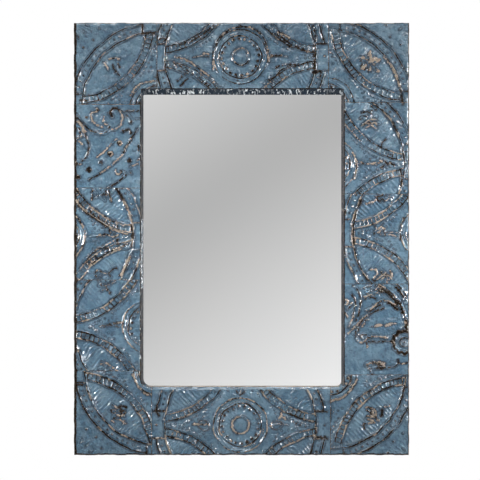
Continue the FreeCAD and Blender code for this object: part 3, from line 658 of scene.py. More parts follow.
# Leaf remains, clasp bars and arcs that differ from cut to cut, as (half width, height, tone, points)
cutDetails = {
    "tin_corner_top_left": (
        (3.2, 1.8, 0.75, ((-241, 328), (-231, 329), (-223, 328))),
        (3.0, 1.2, 0.8, ((-250, 321), (-246, 314), (-243, 309))),
        (2.4, 1.6, 0.1, ((-235, 317), (-231, 307), (-223, 298))),
        (2.2, 1.4, 0.3, ((-225, 319), (-222, 313))),
        (2.2, 1.6, 0.1, ((-181, 391), (-180, 374))),
        (2.2, 1.6, 0.6, ((-180, 374), (-170, 375), (-158, 374))),
        (2.4, 2.0, 0.8, ((-202, 261), (-199, 266), (-193, 276), (-180, 284), (-160, 288))),
        (2.0, 1.2, 0.6, ((-172, 273), (-164, 278), (-156, 280))),
        (2.0, 1.2, 0.2, ((-293, 253), (-282, 252))),
    ),
    "tin_top": (
        (2.8, 1.8, -0.3, ((-142, 359), (-136, 366), (-130, 384))),
        (2.4, 1.4, 0.3, ((-149, 364), (-141, 366), (-136, 363))),
        (2.6, 1.8, -0.2, ((-122, 320), (-100, 308), (-78, 294), (-60, 280))),
        (2.4, 1.8, 0.7, ((-120, 332), (-100, 326), (-82, 314), (-60, 297), (-47, 282))),
        (2.6, 1.8, 0.2, ((-123, 351), (-105, 356), (-85, 364), (-65, 377), (-51, 390))),
        (2.2, 1.2, -0.4, ((-116, 288), (-101, 302))),
        (2.2, 1.2, -0.2, ((-111, 280), (-100, 292))),
        (2.8, 1.8, 0.1, ((54, 375), (68, 371), (82, 360), (99, 351), (124, 340))),
        (2.8, 1.6, -0.4, ((64, 367), (82, 355), (93, 348))),
        (2.4, 1.4, 0.8, ((66, 377), (77, 372), (88, 366))),
        (2.8, 1.6, -0.4, ((47, 288), (62, 297), (75, 310), (91, 317))),
        (2.6, 1.6, 0.4, ((42, 282), (55, 286))),
        (2.6, 1.4, -0.2, ((64, 313), (79, 317), (99, 317))),
        (3.0, 2.2, 0.55, ((-51, 308), (-51, 342), (-40, 366), (-20, 382), (11, 386), (33, 375),
                          (47, 351), (50, 324))),
        (2.4, 1.2, 0.75, ((-70, 338), (-60, 337))),
        (2.4, 1.2, 0.6, ((55, 334), (73, 335))),
        (2.8, 1.8, -0.2, ((131, 388), (135, 366), (131, 351))),
        (2.6, 1.6, 0.3, ((131, 342), (133, 320), (130, 302))),
        (2.4, 1.6, -0.4, ((135, 355), (150, 356))),
        (2.6, 1.6, -0.4, ((133, 303), (144, 304), (143, 292))),
    ),
    "tin_corner_top_right": (
        (5.0, 1.6, 1.6, ((234, 340), (235, 332), (235, 322))),
        (5.0, 1.6, 1.6, ((219, 330), (227, 327), (235, 322))),
        (4.6, 1.5, 1.6, ((220, 311), (226, 316), (234, 321))),
        (5.0, 1.6, 1.6, ((249, 326), (242, 326), (236, 322))),
        (4.6, 1.5, 1.6, ((249, 306), (244, 313), (238, 320))),
        (4.0, 1.4, 1.6, ((234, 308), (235, 315))),
        (1.6, 1.0, -0.5, ((217, 325), (222, 321), (217, 315))),
        (1.6, 1.0, -0.5, ((224, 308), (229, 312), (231, 304))),
        (3.2, 2.6, 1.2, ((260, 331), (270, 318), (277, 306), (283, 292), (287, 278))),
        (2.6, 2.4, -0.5, ((288, 276), (291, 262), (292, 250))),
    ),
    "tin_right_upper": (
        (2.4, 1.8, -0.4, ((219, 230), (228, 232), (238, 228), (235, 233), (243, 235))),
        (2.2, 1.6, 0.0, ((216, 219), (222, 224), (233, 222))),
        (3.0, 1.6, 0.85, ((219, 205), (228, 214), (236, 218), (245, 217))),
        (2.8, 1.6, 0.8, ((222, 210), (233, 210), (245, 212), (246, 208))),
        (2.6, 1.4, 0.85, ((228, 203), (235, 207), (240, 205))),
        (2.2, 1.4, -0.2, ((231, 214), (236, 210))),
        (2.4, 1.4, 0.3, ((241, 245), (248, 240), (245, 235))),
        (2.2, 1.4, -0.2, ((236, 242), (241, 238))),
        (2.2, 1.2, -0.4, ((254, 167), (257, 176), (263, 182))),
        (2.4, 1.2, 0.75, ((215, 140), (226, 137), (236, 138), (250, 139))),
        (2.4, 1.2, 0.6, ((252, 143), (257, 141))),
        (2.4, 1.2, 0.3, ((262, 141), (267, 136))),
        (2.4, 1.2, 0.7, ((271, 139), (278, 135))),
        (2.4, 1.2, 0.1, ((254, 131), (261, 134))),
        (3.2, 2.8, -0.5, ((290, 126), (292, 113), (290, 98))),
        (3.2, 2.6, 0.3, ((257, 235), (271, 219), (283, 197), (292, 172), (294, 152))),
        (2.6, 2.4, 0.7, ((205, 110), (209, 124), (209, 141), (203, 157))),
    ),
    "tin_left_middle": (
        (2.4, 1.6, -0.6, ((-303, 93), (-291, 78), (-276, 62))),
        (3.4, 2.6, 0.95, ((-301, 71), (-293, 59), (-282, 50))),
        (2.8, 2.4, -0.5, ((-299, 63), (-291, 54), (-282, 46))),
        (3.4, 2.0, 0.78, ((-273, 58), (-252, 42), (-232, 30), (-212, 24))),
        (2.6, 2.4, -0.5, ((-280, 46), (-258, 31), (-240, 18))),
        (2.6, 2.2, 0.8, ((-240, 20), (-225, 14), (-208, 9))),
        (2.2, 1.2, -0.6, ((-277, 53), (-274, 49))),
        (2.2, 1.2, -0.6, ((-270, 46), (-267, 42))),
        (2.2, 1.2, -0.6, ((-262, 40), (-259, 36))),
        (2.2, 1.2, -0.6, ((-254, 36), (-250, 32))),
        (2.2, 1.2, -0.6, ((-246, 31), (-242, 26))),
        (2.2, 1.2, -0.6, ((-237, 27), (-233, 22))),
        (2.2, 1.2, -0.2, ((-227, 23), (-223, 18))),
        (3.4, 2.8, -0.5, ((-228, 93), (-222, 83), (-216, 72))),
        (3.2, 2.8, 0.8, ((-216, 72), (-210, 59), (-203, 46), (-201, 35))),
        (3.0, 2.8, -0.4, ((-211, 62), (-208, 55))),
        (3.4, 2.8, -0.6, ((-201, 26), (-198, 15), (-199, 2))),
        (3.2, 2.8, 0.5, ((-199, 0), (-200, -15))),
        (3.6, 2.8, 1.0, ((-202, -27), (-209, -42), (-215, -57), (-219, -66))),
        (2.8, 2.0, -0.8, ((-221, -67), (-219, -70))),
        (2.6, 1.6, 0.4, ((-272, 86), (-271, 78), (-273, 71))),
        (2.6, 1.8, 0.2, ((-268, 74), (-260, 77), (-252, 82), (-246, 90), (-232, 98))),
        (2.6, 1.8, -0.3, ((-248, 87), (-247, 79))),
        (2.6, 1.8, 0.45, ((-242, 87), (-240, 78), (-237, 69))),
        (3.0, 1.8, -0.4, ((-266, -60), (-264, -70))),
        (2.6, 1.8, 0.3, ((-264, -57), (-256, -59), (-250, -63), (-242, -63))),
        (3.0, 1.8, 0.1, ((-242, -62), (-236, -56), (-227, -53))),
        (2.6, 1.8, -0.2, ((-243, -63), (-237, -70))),
        (3.6, 1.8, 0.72, ((-264, -19), (-251, -15), (-240, -7), (-225, -1))),
        (2.8, 2.4, 0.85, ((-208, -9), (-221, -15), (-234, -20))),
        (2.6, 2.4, -0.3, ((-234, -20), (-251, -29), (-262, -37), (-270, -44))),
        (2.4, 1.8, 0.2, ((-283, -41), (-275, -30), (-266, -22))),
        (2.2, 1.6, 0.5, ((-277, -47), (-270, -41))),
        (2.0, 1.4, 0.6, ((-275, -36), (-272, -41))),
        (2.0, 1.4, 0.1, ((-268, -29), (-265, -35))),
        (2.2, 1.2, -0.2, ((-248, -16), (-242, -18))),
        (2.0, 1.4, 0.6, ((-227, -4), (-223, -11))),
        (2.0, 1.0, 0.5, ((-263, 5), (-252, 9), (-243, 7), (-234, 4), (-225, 7))),
        (2.4, 1.2, -0.3, ((-240, 16), (-240, 11))),
        (3.0, 2.2, 0.85, ((-301, 42), (-293, 31), (-286, 18), (-284, 5), (-287, -9), (-293, -20),
                          (-301, -31))),
        (2.6, 1.2, -0.4, ((-300, 9), (-300, 3))),
    ),
    "tin_left_lower": (
        (2.6, 1.6, 0.6, ((-260, -77), (-252, -85), (-243, -83), (-231, -78))),
        (2.6, 1.4, 0.2, ((-247, -87), (-243, -94), (-238, -99))),
        (2.6, 1.4, 0.8, ((-257, -228), (-247, -226), (-238, -232), (-227, -240))),
        (2.2, 1.4, 0.5, ((-257, -159), (-243, -156), (-231, -154), (-220, -152))),
    ),
    "tin_corner_bottom_left": (
        (2.2, 1.4, 0.2, ((-302, -266), (-287, -266))),
        (3.2, 2.0, -0.4, ((-238, -310), (-234, -318), (-229, -317))),
        (2.2, 1.8, 0.4, ((-226, -307), (-217, -304), (-210, -307))),
        (2.2, 1.8, 0.3, ((-224, -313), (-217, -314), (-212, -312))),
        (2.2, 1.8, 0.5, ((-227, -320), (-219, -322), (-212, -317))),
        (2.2, 1.8, 0.4, ((-232, -327), (-224, -329), (-215, -332))),
        (2.0, 1.6, 0.1, ((-220, -309), (-219, -318), (-222, -326))),
        (2.4, 1.4, 0.9, ((-236, -331), (-233, -333))),
        (2.4, 1.4, 0.9, ((-215, -335), (-211, -336))),
        (2.4, 1.8, 0.8, ((-198, -246), (-191, -263), (-180, -278), (-167, -285))),
    ),
    "tin_bottom": (
        (2.4, 1.6, 0.3, ((-154, -303), (-155, -313), (-150, -322))),
        (2.2, 1.4, 0.2, ((-151, -313), (-141, -314))),
        (2.0, 1.4, 0.6, ((-86, -337), (-73, -338), (-60, -338))),
        (2.0, 1.2, 0.6, ((73, -316), (73, -322), (80, -328))),
        (2.0, 1.2, 0.6, ((73, -322), (68, -328))),
        (2.2, 1.4, 0.2, ((134, -314), (153, -314))),
        (2.2, 1.4, 0.3, ((134, -361), (153, -361))),
    ),
    "tin_corner_bottom_right": (
        (2.6, 2.2, 0.8, ((210, -256), (205, -266), (196, -278), (185, -288), (164, -296))),
        (2.2, 1.8, 0.5, ((227, -307), (236, -308), (242, -311), (245, -317), (242, -322), (236, -324),
                          (229, -322))),
        (2.0, 1.6, 0.4, ((228, -311), (233, -315), (238, -319))),
        (2.0, 1.6, 0.5, ((237, -310), (240, -317))),
        (3.4, 2.2, -0.4, ((256, -312), (255, -322))),
        (2.6, 1.8, 0.6, ((261, -306), (269, -304))),
        (2.6, 2.0, 0.4, ((242, -322), (250, -331))),
        (2.4, 1.8, 0.5, ((224, -337), (233, -335), (242, -334), (236, -330), (229, -328))),
        (2.2, 1.6, 0.2, ((223, -339), (224, -345))),
    ),
    "tin_right_middle": (
        (2.6, 1.6, 0.6, ((228, 64), (236, 66), (244, 71), (245, 77))),
        (2.6, 1.8, 0.2, ((247, 74), (252, 68), (257, 74), (261, 68))),
        (2.4, 1.6, 0.5, ((263, 70), (271, 74), (274, 68))),
        (2.4, 1.6, 0.0, ((248, 78), (262, 80), (274, 77))),
        (3.4, 2.8, -0.4, ((219, 71), (211, 55), (206, 37))),
        (3.4, 2.8, 0.2, ((206, 37), (204, 20), (204, 6))),
        (3.6, 2.8, -0.6, ((204, 4), (204, -11))),
        (3.2, 2.8, 0.1, ((205, -15), (210, -36), (219, -56), (229, -75))),
        (2.4, 1.4, 0.7, ((243, 23), (248, 18), (255, 22), (261, 18))),
        (2.4, 1.4, 0.6, ((241, 8), (244, 15), (249, 11), (254, 16))),
        (2.4, 1.4, 0.75, ((252, 8), (262, 7), (271, 8), (281, 5))),
        (2.2, 1.2, 0.4, ((259, 16), (261, 10))),
        (3.0, 1.8, 0.85, ((236, -56), (245, -56), (247, -63), (241, -72))),
        (2.8, 1.8, 0.7, ((248, -74), (255, -67), (262, -65), (271, -67))),
        (2.6, 1.6, 0.8, ((271, -58), (274, -67), (269, -74))),
        (2.4, 1.6, 0.1, ((254, -60), (261, -68))),
        (2.8, 1.4, -0.2, ((239, -75), (245, -76))),
        (2.6, 2.4, 0.1, ((290, -1), (290, 20), (295, 37))),
    ),
}

# The scroll tile, one cut from each half of it: ridges as (half width, height, tone, points)
scrollPanels = {
    "tin_left_upper": (
        (3.6, 2.4, 0.35, ((-302, 228), (-297, 219), (-291, 211), (-282, 204), (-275, 198), (-266, 194),
                          (-257, 192), (-251, 193), (-244, 196))),
        (2.8, 1.8, 0.9, ((-263, 238), (-264, 232), (-273, 230), (-274, 224), (-272, 216), (-267, 210),
                          (-261, 207), (-254, 204))),
        (2.2, 1.2, 0.8, ((-251, 221), (-252, 216), (-250, 211), (-245, 208))),
        (4.6, 2.4, -0.6, ((-236, 224), (-239, 229))),
        (3.2, 2.4, -0.2, ((-239, 229), (-236, 236), (-229, 238), (-222, 235))),
        (3.0, 2.0, 0.9, ((-222, 235), (-218, 227), (-217, 219), (-219, 211), (-222, 205), (-231, 200),
                          (-236, 199))),
        (2.4, 1.4, 0.2, ((-214, 231), (-207, 233), (-197, 233), (-188, 233))),
        (2.0, 1.2, 0.2, ((-193, 219), (-186, 219))),
        (4.2, 2.4, -0.4, ((-207, 224), (-202, 219), (-201, 213))),
        (3.0, 2.2, 0.0, ((-217, 196), (-210, 199), (-204, 197), (-201, 193))),
        (2.6, 2.2, 0.1, ((-190, 201), (-196, 190), (-201, 183))),
        (2.6, 2.2, 0.7, ((-201, 183), (-206, 174), (-211, 166), (-215, 156), (-218, 151), (-226, 144),
                          (-236, 135))),
        (2.8, 2.4, 0.8, ((-236, 135), (-246, 127), (-257, 120))),
        (2.4, 1.8, 0.0, ((-257, 120), (-268, 113), (-278, 108))),
        (2.6, 1.8, 0.1, ((-219, 124), (-210, 119), (-215, 113), (-224, 105), (-235, 98), (-242, 93),
                          (-247, 88))),
        (2.4, 1.6, 0.1, ((-285, 190), (-281, 180), (-278, 169), (-280, 157), (-285, 147), (-291, 142))),
        (2.2, 1.2, 0.7, ((-303, 143), (-300, 137), (-293, 136))),
        (4.2, 1.8, 0.95, ((-298, 215), (-291, 207), (-286, 195))),
        (2.0, 1.6, 0.0, ((-296, 201), (-293, 192))),
        (3.4, 1.2, 0.9, ((-300, 183), (-291, 187))),
        (3.4, 1.0, 0.85, ((-296, 178), (-290, 172))),
        (1.8, 0.5, 0.9, ((-228, 182), (-240, 170), (-252, 158), (-263, 149))),
        (2.2, 1.2, 0.2, ((-272, 249), (-262, 250), (-249, 248), (-240, 250))),
        (2.6, 1.6, 0.0, ((-301, 227), (-299, 219), (-296, 210))),
        (2.0, 1.4, 0.1, ((-187, 172), (-188, 162))),
        (2.0, 1.4, 0.2, ((-185, 148), (-190, 143))),
        (2.2, 1.4, 0.9, ((-190, 137), (-197, 134), (-203, 131))),
        (2.2, 1.6, 0.5, ((-229, 126), (-228, 120), (-223, 118), (-219, 122))),
        (2.6, 1.8, 0.0, ((-202, 122), (-201, 119))),
    ),
    "tin_right_lower": (
        (4.4, 3.0, 0.6, ((245, -79), (256, -86), (269, -95), (280, -105), (287, -114))),
        (4.6, 3.0, -0.2, ((250, -86), (264, -96), (276, -107), (285, -117))),
        (5.4, 3.0, -0.4, ((285, -112), (291, -123), (296, -135), (299, -148), (300, -166))),
        (4.6, 3.0, 0.35, ((276, -78), (286, -85), (294, -93), (299, -103), (301, -114))),
        (3.4, 3.0, -0.5, ((282, -88), (291, -98), (297, -109))),
        (2.6, 2.0, 0.3, ((204, -85), (211, -91), (216, -101), (218, -112), (216, -124), (213, -138),
                          (209, -149))),
        (2.4, 1.8, 0.4, ((202, -102), (206, -109), (208, -117), (205, -131), (202, -146), (195, -161))),
        (2.4, 1.6, 0.9, ((189, -110), (195, -114), (191, -120))),
        (2.6, 1.8, 0.9, ((201, -117), (197, -124), (193, -128))),
        (2.0, 1.4, 0.6, ((189, -135), (193, -142))),
        (3.2, 2.8, 0.7, ((227, -130), (238, -125), (247, -117), (256, -112), (267, -113), (275, -117),
                          (284, -123))),
        (2.6, 2.4, -0.3, ((231, -133), (243, -127), (254, -118))),
        (3.2, 2.4, -0.3, ((268, -116), (276, -121), (284, -128))),
        (3.0, 2.4, 0.8, ((205, -161), (210, -156), (219, -146), (229, -138))),
        (2.6, 1.8, 0.7, ((194, -173), (202, -164), (209, -157))),
        (2.2, 1.2, 0.7, ((220, -159), (225, -149), (231, -146))),
        (2.0, 1.6, -0.6, ((214, -176), (212, -168), (217, -152), (228, -141), (243, -132), (259, -126))),
        (2.8, 2.4, 0.5, ((209, -162), (208, -175), (210, -183), (218, -189), (226, -184), (229, -177),
                          (223, -173), (217, -176), (220, -181))),
        (3.0, 1.8, 0.75, ((229, -180), (240, -178), (252, -178), (265, -180))),
        (2.4, 1.6, 0.2, ((229, -187), (246, -187), (261, -186), (272, -187))),
        (1.4, 0.5, 0.2, ((229, -189), (229, -197))),
        (2.6, 1.6, 0.0, ((239, -234), (252, -234), (266, -234), (277, -233), (284, -228), (285, -221))),
        (5.6, 1.6, 0.93, ((229, -229), (241, -226), (258, -229))),
        (3.6, 1.4, -0.3, ((233, -236), (247, -235), (259, -235))),
        (2.6, 1.2, -0.4, ((236, -241), (238, -246))),
        (1.8, 1.0, 0.1, ((289, -227), (303, -226))),
        (2.4, 1.6, 0.8, ((224, -105), (240, -99), (252, -96), (259, -95))),
        (2.0, 1.2, 0.5, ((219, -91), (227, -87), (236, -85))),
        (2.0, 1.2, 0.5, ((245, -93), (252, -92), (259, -99))),
        (2.0, 1.2, 0.4, ((226, -110), (236, -106), (245, -109))),
        (2.0, 1.2, 0.3, ((236, -94), (243, -88))),
    ),
}


# What the scroll tile shows beside its ridges: bosses as (x, z, radius, tone), the pillow under the leaf,
# the flower at the edge, the net of fine lines at the leaf's root and two smears of thin paint
scrollForms = {
    "bosses": ((-222, 175, 5.2, 0.9), (-239, 155, 5.8, 1.2), (-256, 139, 5.4, 0.3), (-278, 126, 5.6, 0.4),
               (-297, 113, 5.0, 0.2), (-204, 143, 5.0, 0.6), (-241, 203, 2.4, 0.5), (-261, 235, 2.4, 0.7),
               (-283, 222, 2.4, 0.8)),
    "bossHeight": 2.6,
    "bossDimple": 1.2,
    "rayMiddle": (-250, 128),
    "pillow": (258, -150, 44, 25),
    "pillowHeight": 1.6,
    "flower": (297, -188),
    "flowerRadius": 20.2,
    "flowerPetals": 12,
    "netMiddle": (240, -93),
    "netHeight": 1.3,
    "upperSmear": (257, -157),
    "lowerSmear": (246, -228),
}


def leftScrollForms(relief):
    x, z, form = relief.x, relief.z, scrollForms
    for px, pz, size, tone in form["bosses"]:
        away = np.hypot(x - px, z - pz) + relief.ragged * 2
        relief.dot(away, size, form["bossHeight"], tone, 0.5)
        ring = np.exp(-(away / (size * 0.85)) ** 4)
        relief.crest = np.maximum(relief.crest, 1.1 * ring)
        dark = (away < size * 0.42) | (x - px + (z - pz) * 0.4 < -size * 0.4)
        relief.tone = np.where(ring > 0.3, np.where(dark, -0.6, tone), relief.tone)
        relief.rise -= form["bossDimple"] * np.exp(-(away / (size * 0.35)) ** 2)
    rayX, rayZ = form["rayMiddle"]
    away = np.hypot(x - rayX, z - rayZ)
    relief.wave(0.25, np.arctan2(z - rayZ, x - rayX) * 42,
                smooth(away, 28, 34) * smooth(away, 62, 54) * smooth(z, 120, 150))


def rightScrollForms(relief):
    x, z, form = relief.x, relief.z, scrollForms
    middleX, middleZ, wide, tall = form["pillow"]
    pillow = np.clip(1 - ((x - middleX) / wide) ** 2 - ((z - middleZ) / tall) ** 2, 0, 1)
    relief.rise += form["pillowHeight"] * pillow ** 0.7
    u, v = x - form["flower"][0], z - form["flower"][1]
    away = np.hypot(u, v)
    scallop = 0.8 * np.cos(np.arctan2(v, u) * form["flowerPetals"])
    rimTone = np.where(u - v > -9, -0.5, 0.3)
    relief.line(np.abs(away - form["flowerRadius"] - scallop), 5.2, 3.2, rimTone, 1.5, 3.9)
    relief.line(np.abs(away - 8.6), 3.0, 2.6, 0.3, 1.05, 1.8)
    relief.dot(away, 3.6, 1.6, 0.1)
    u, v = x - form["netMiddle"][0], z - form["netMiddle"][1]
    net = np.maximum(np.cos((x * 0.35 + z) * 2 * math.pi / 6.2), np.cos((x - 0.9 * z) * 2 * math.pi / 7.6))
    net = np.clip(net, 0, 1) ** 2 * smooth(np.hypot(u / 1.5, v), 13, 9)
    relief.rise += form["netHeight"] * net
    relief.crest = np.maximum(relief.crest, 0.9 * net)
    relief.tone = np.where(net > 0.3, 0.6, relief.tone)
    u, v = x - form["upperSmear"][0], z - form["upperSmear"][1]
    patch = np.hypot(u / 5.5, v - u * 0.1)
    relief.crest = np.maximum(relief.crest, 0.7 * np.exp(-(patch / 4.6) ** 2))
    relief.tone = np.where(patch < 8, 0.75, relief.tone)
    u, v = x - form["lowerSmear"][0], z - form["lowerSmear"][1]
    patch = np.hypot(u / 2.4, v)
    relief.crest = np.maximum(relief.crest, 0.9 * np.exp(-(patch / 6.5) ** 2))
    relief.tone = np.where(patch < 8, np.where(v + 3 + u * 0.15 < 0, -0.4, 0.8), relief.tone)


def scrollRelief(relief, name):
    for width, height, tone, points in scrollPanels[name]:
        relief.stroke(points, width * 1.1, height * 1.15, tone, 1.05, 1.5)
    if name == "tin_left_upper":
        leftScrollForms(relief)
    else:
        rightScrollForms(relief)


def sightDistance(x, z):
    # how far a point lies outside the sight opening, whose corners are rounded
    shape = cladding
    middleX = (shape["glassLeft"] + shape["glassRight"]) / 2
    middleZ = (shape["glassTop"] + shape["glassBottom"]) / 2
    x, z = x - middleX, z - middleZ
    radius = np.where(z > 0, shape["cornerTop"],
                      np.where(x < 0, shape["cornerBottomLeft"], shape["cornerBottomRight"]))
    dx = np.abs(x) - shape["glassRight"] + middleX + radius
    dz = np.abs(z) - shape["glassTop"] + middleZ + radius
    outside = np.hypot(np.maximum(dx, 0), np.maximum(dz, 0))
    return outside + np.minimum(np.maximum(dx, dz), 0) - radius


def slopeWidth(x, z):
    # the lip is widest along the top
    shape = cladding
    middle = (shape["glassLeft"] + shape["glassRight"]) / 2
    reach = (shape["glassRight"] - shape["glassLeft"]) / 2
    above = smooth(z - shape["glassTop"] - np.abs(x - middle) + reach, -1, 6)
    below = smooth(shape["glassBottom"] - z, -12, 2)
    return shape["slopeSide"] + (shape["slopeTop"] - shape["slopeSide"]) * above \
        + (shape["slopeBottom"] - shape["slopeSide"]) * below


def panelLines(low, high, edge, glassLow, glassHigh):
    # grid lines along one axis, closer at the outer bend and at the sight edge
    shape = cladding
    bend, margin = shape["outerBend"], shape["seamGap"] / 2
    first = -edge + bend if low == -edge else low + (0 if low == glassHigh else margin)
    last = edge - bend if high == edge else high - (0 if high == glassLow else margin)
    reach = shape["slopeTop"] + shape["roll"]
    stops = (glassLow - reach, glassLow, glassHigh, glassHigh + reach)
    stops = [stop for stop in stops if first < stop < last]
    lines = []
    for start, stop in zip([first] + stops, stops + [last]):
        pitch = shape["lipGrid"] if stop - start < reach + 0.1 else shape["grid"]
        lines += list(np.linspace(start, stop, max(1, round((stop - start) / pitch)), endpoint=False))
    lines.append(last)
    arcs = np.sin(np.linspace(0, math.pi / 2, 7))[1:] * bend
    if low == -edge:
        lines = [first - step for step in arcs[::-1]] + lines
    if high == edge:
        lines = lines + [last + step for step in arcs]
    return np.array(lines)


def seamDistance(x, z, outline, columns, rows):
    # distance to the cuts between panels, which are neither outer edges nor sight edges
    shape = cladding
    low, high, bottom, top = outline
    seam = np.full_like(x, 1e3)
    if low not in (-shape["halfWidth"], shape["glassRight"]):
        seam = np.minimum(seam, np.abs(x - columns[0]))
    if high not in (shape["halfWidth"], shape["glassLeft"]):
        seam = np.minimum(seam, np.abs(x - columns[-1]))
    if bottom not in (-shape["halfHeight"], shape["glassTop"]):
        seam = np.minimum(seam, np.abs(z - rows[0]))
    if top not in (shape["halfHeight"], shape["glassBottom"]):
        seam = np.minimum(seam, np.abs(z - rows[-1]))
    return seam


# How uneven the old sheet is, in millimetres; wanders are (height, size, seed)
unevenness = {
    "dents": ((0.4, 60, 41), (0.28, 21, 42), (0.11, 9, 43), (0.03, 4.5, 45)),
    "swell": 0.5,
    "seamDip": 0.35,
    "seamDipWidth": 1.1,
    "seamLip": 0.3,
    "seamLipPlace": 2.6,
    "seamLipWidth": 1.6,
    "lipDents": ((0.5, 14, 51), (0.3, 5.5, 52)),
    "lipBead": 1.9,
    "lipBeadPlace": 1.8,
    "lipBeadWidth": 1.0,
    "edgeMiddle": 0.35,
    "edgeMost": 0.8,
    # how strong the dark wear is at each outer edge, which also paints the shade of the bend, where it begins
    # to fade, how wide it is, and its tone
    "edgeWearShade": {"left": (1.4, 1.2, 3.2, -2.0), "right": (1.1, 0.3, 1.7, -1.5),
                 "bottom": (1.2, 0.5, 2.2, -1.5), "top": (0.75, 0.2, 1.2, 0.1)},
    # how strong the dark wear is along the sight edge below it, and else at the right and at the left; it
    # also paints the shade where the edge turns into the lip, least below
    "sightWearShade": (0.2, 0.95, 0.75),
}


def waver(along, seed):
    # how far an outer edge stands out, uneven along its length
    wander = softNoises(along, along * 0, ((0.3, 33, seed), (0.12, 9, seed + 1)))
    return np.clip(unevenness["edgeMiddle"] + wander, 0, unevenness["edgeMost"])


def sheetRise(relief, outer, seam, fade):
    # the relief with the sheet's dents, lower at a cut and raised again beside it
    x, z, rough = relief.x, relief.z, unevenness
    rise = relief.rise * fade * np.clip(relief.worn, 0.6, 1.15)
    rise += fade * softNoises(x, z, rough["dents"])
    rise -= rough["seamDip"] * np.exp(-(seam / rough["seamDipWidth"]) ** 2) * smooth(outer, 0.5, 2.5)
    beside = np.exp(-((seam - rough["seamLipPlace"]) / rough["seamLipWidth"]) ** 2)
    rise += rough["seamLip"] * beside * fade * (0.5 + 0.5 * softNoise(x, z, 20, 44))
    return np.clip(rise + rough["swell"] * fade, cladding["deepest"], cladding["tallest"])


def sheetDepth(x, z, away, outer, rise):
    # where the sheet lies: flat, down the lip to the glass from a rolled front edge, or round the outer bend
    shape, rough = cladding, unevenness
    front, bend, roll, slope = shape["front"], shape["outerBend"], shape["roll"], slopeWidth(x, z)
    share = np.clip(away / slope, 0, 1)
    slopeDepth = shape["glassEnd"] + (front + roll - shape["glassEnd"]) * share
    slopeDepth += softNoises(x, z, rough["lipDents"]) * np.sin(share * math.pi)
    bead = np.clip(0.5 + 0.9 * softNoise(x, z, 6, 53), 0, 1.3) * smooth(z - shape["glassTop"], -2, 0)
    bead *= np.exp(-((away - rough["lipBeadPlace"]) / rough["lipBeadWidth"]) ** 2)
    slopeDepth -= rough["lipBead"] * bead
    rollDepth = front + roll * (1 - np.clip((away - slope) / roll, 0, 1)) ** 2 - rise
    depth = np.where(away < slope, slopeDepth, np.where(away < slope + roll, rollDepth, front - rise))
    drop = np.clip(bend - outer, 0, bend)
    return np.where(drop > 0, np.maximum(depth, front + bend - np.sqrt(bend ** 2 - drop ** 2)), depth)


def gridFaces(index):
    # four-sided faces between the rows and columns of a grid of points
    corners = (index[:-1, :-1], index[:-1, 1:], index[1:, 1:], index[1:, :-1])
    return np.column_stack([corner.ravel() for corner in corners])


def makePanel(name, outline):
    shape = cladding
    half, tall = shape["halfWidth"], shape["halfHeight"]
    low, high, bottom, top = outline
    columns = panelLines(low, high, half, shape["glassLeft"], shape["glassRight"])
    rows = panelLines(bottom, top, tall, shape["glassBottom"], shape["glassTop"])
    gridX, gridZ = np.meshgrid(columns, rows)
    x, z = gridX.ravel(), gridZ.ravel()

    # points just inside the rounded sight corners slide out to the opening's edge
    away = sightDistance(x, z)
    hidden = away < -1e-4
    slid = hidden & (away > -shape["cornerSlide"])
    step = 0.05
    slopeX = (sightDistance(x + step, z) - sightDistance(x - step, z)) / (2 * step)
    slopeZ = (sightDistance(x, z + step) - sightDistance(x, z - step)) / (2 * step)
    px = np.where(slid, x - away * slopeX, x)
    pz = np.where(slid, z - away * slopeZ, z)
    away = np.where(slid, 0, away)

    relief = Relief(px, pz)
    if name in latticePanels:
        latticeRelief(relief, name)
    else:
        scrollRelief(relief, name)

    outer = np.minimum(half - np.abs(px), tall - np.abs(pz))
    seam = seamDistance(px, pz, outline, columns, rows)
    slope = slopeWidth(px, pz)
    fade = smooth(away, slope, slope + shape["lipFade"]) * smooth(outer, *shape["edgeFade"])
    depth = sheetDepth(px, pz, away, outer, sheetRise(relief, outer, seam, fade))
    values = wearValues(relief, px, pz, away, slope, seam, fade)
    outX = px + np.sign(px) * waver(pz, 73) * smooth(half - np.abs(px), 9, 1)
    outZ = pz + np.sign(pz) * waver(px, 75) * smooth(tall - np.abs(pz), 9, 1)
    points = np.column_stack([outX, depth, outZ])

    index = np.arange(len(columns) * len(rows)).reshape(len(rows), len(columns))
    quads = gridFaces(index)
    keep = ~hidden[quads].all(axis=1) & ~(hidden[quads] & ~slid[quads]).any(axis=1)
    blocks = [(points, quads[keep], values)]
    edges = ((low == -half, index[:, 0], (-1, 0)), (high == half, index[::-1, -1], (1, 0)),
             (top == tall, index[-1, :], (0, 1)), (bottom == -tall, index[0, ::-1], (0, -1)))
    for present, edgeIndex, outwards in edges:
        if present:
            blocks.append(outerReturn(points[edgeIndex], outwards))
    return meshFrom(name.replace("tin_", "tile_"), blocks)


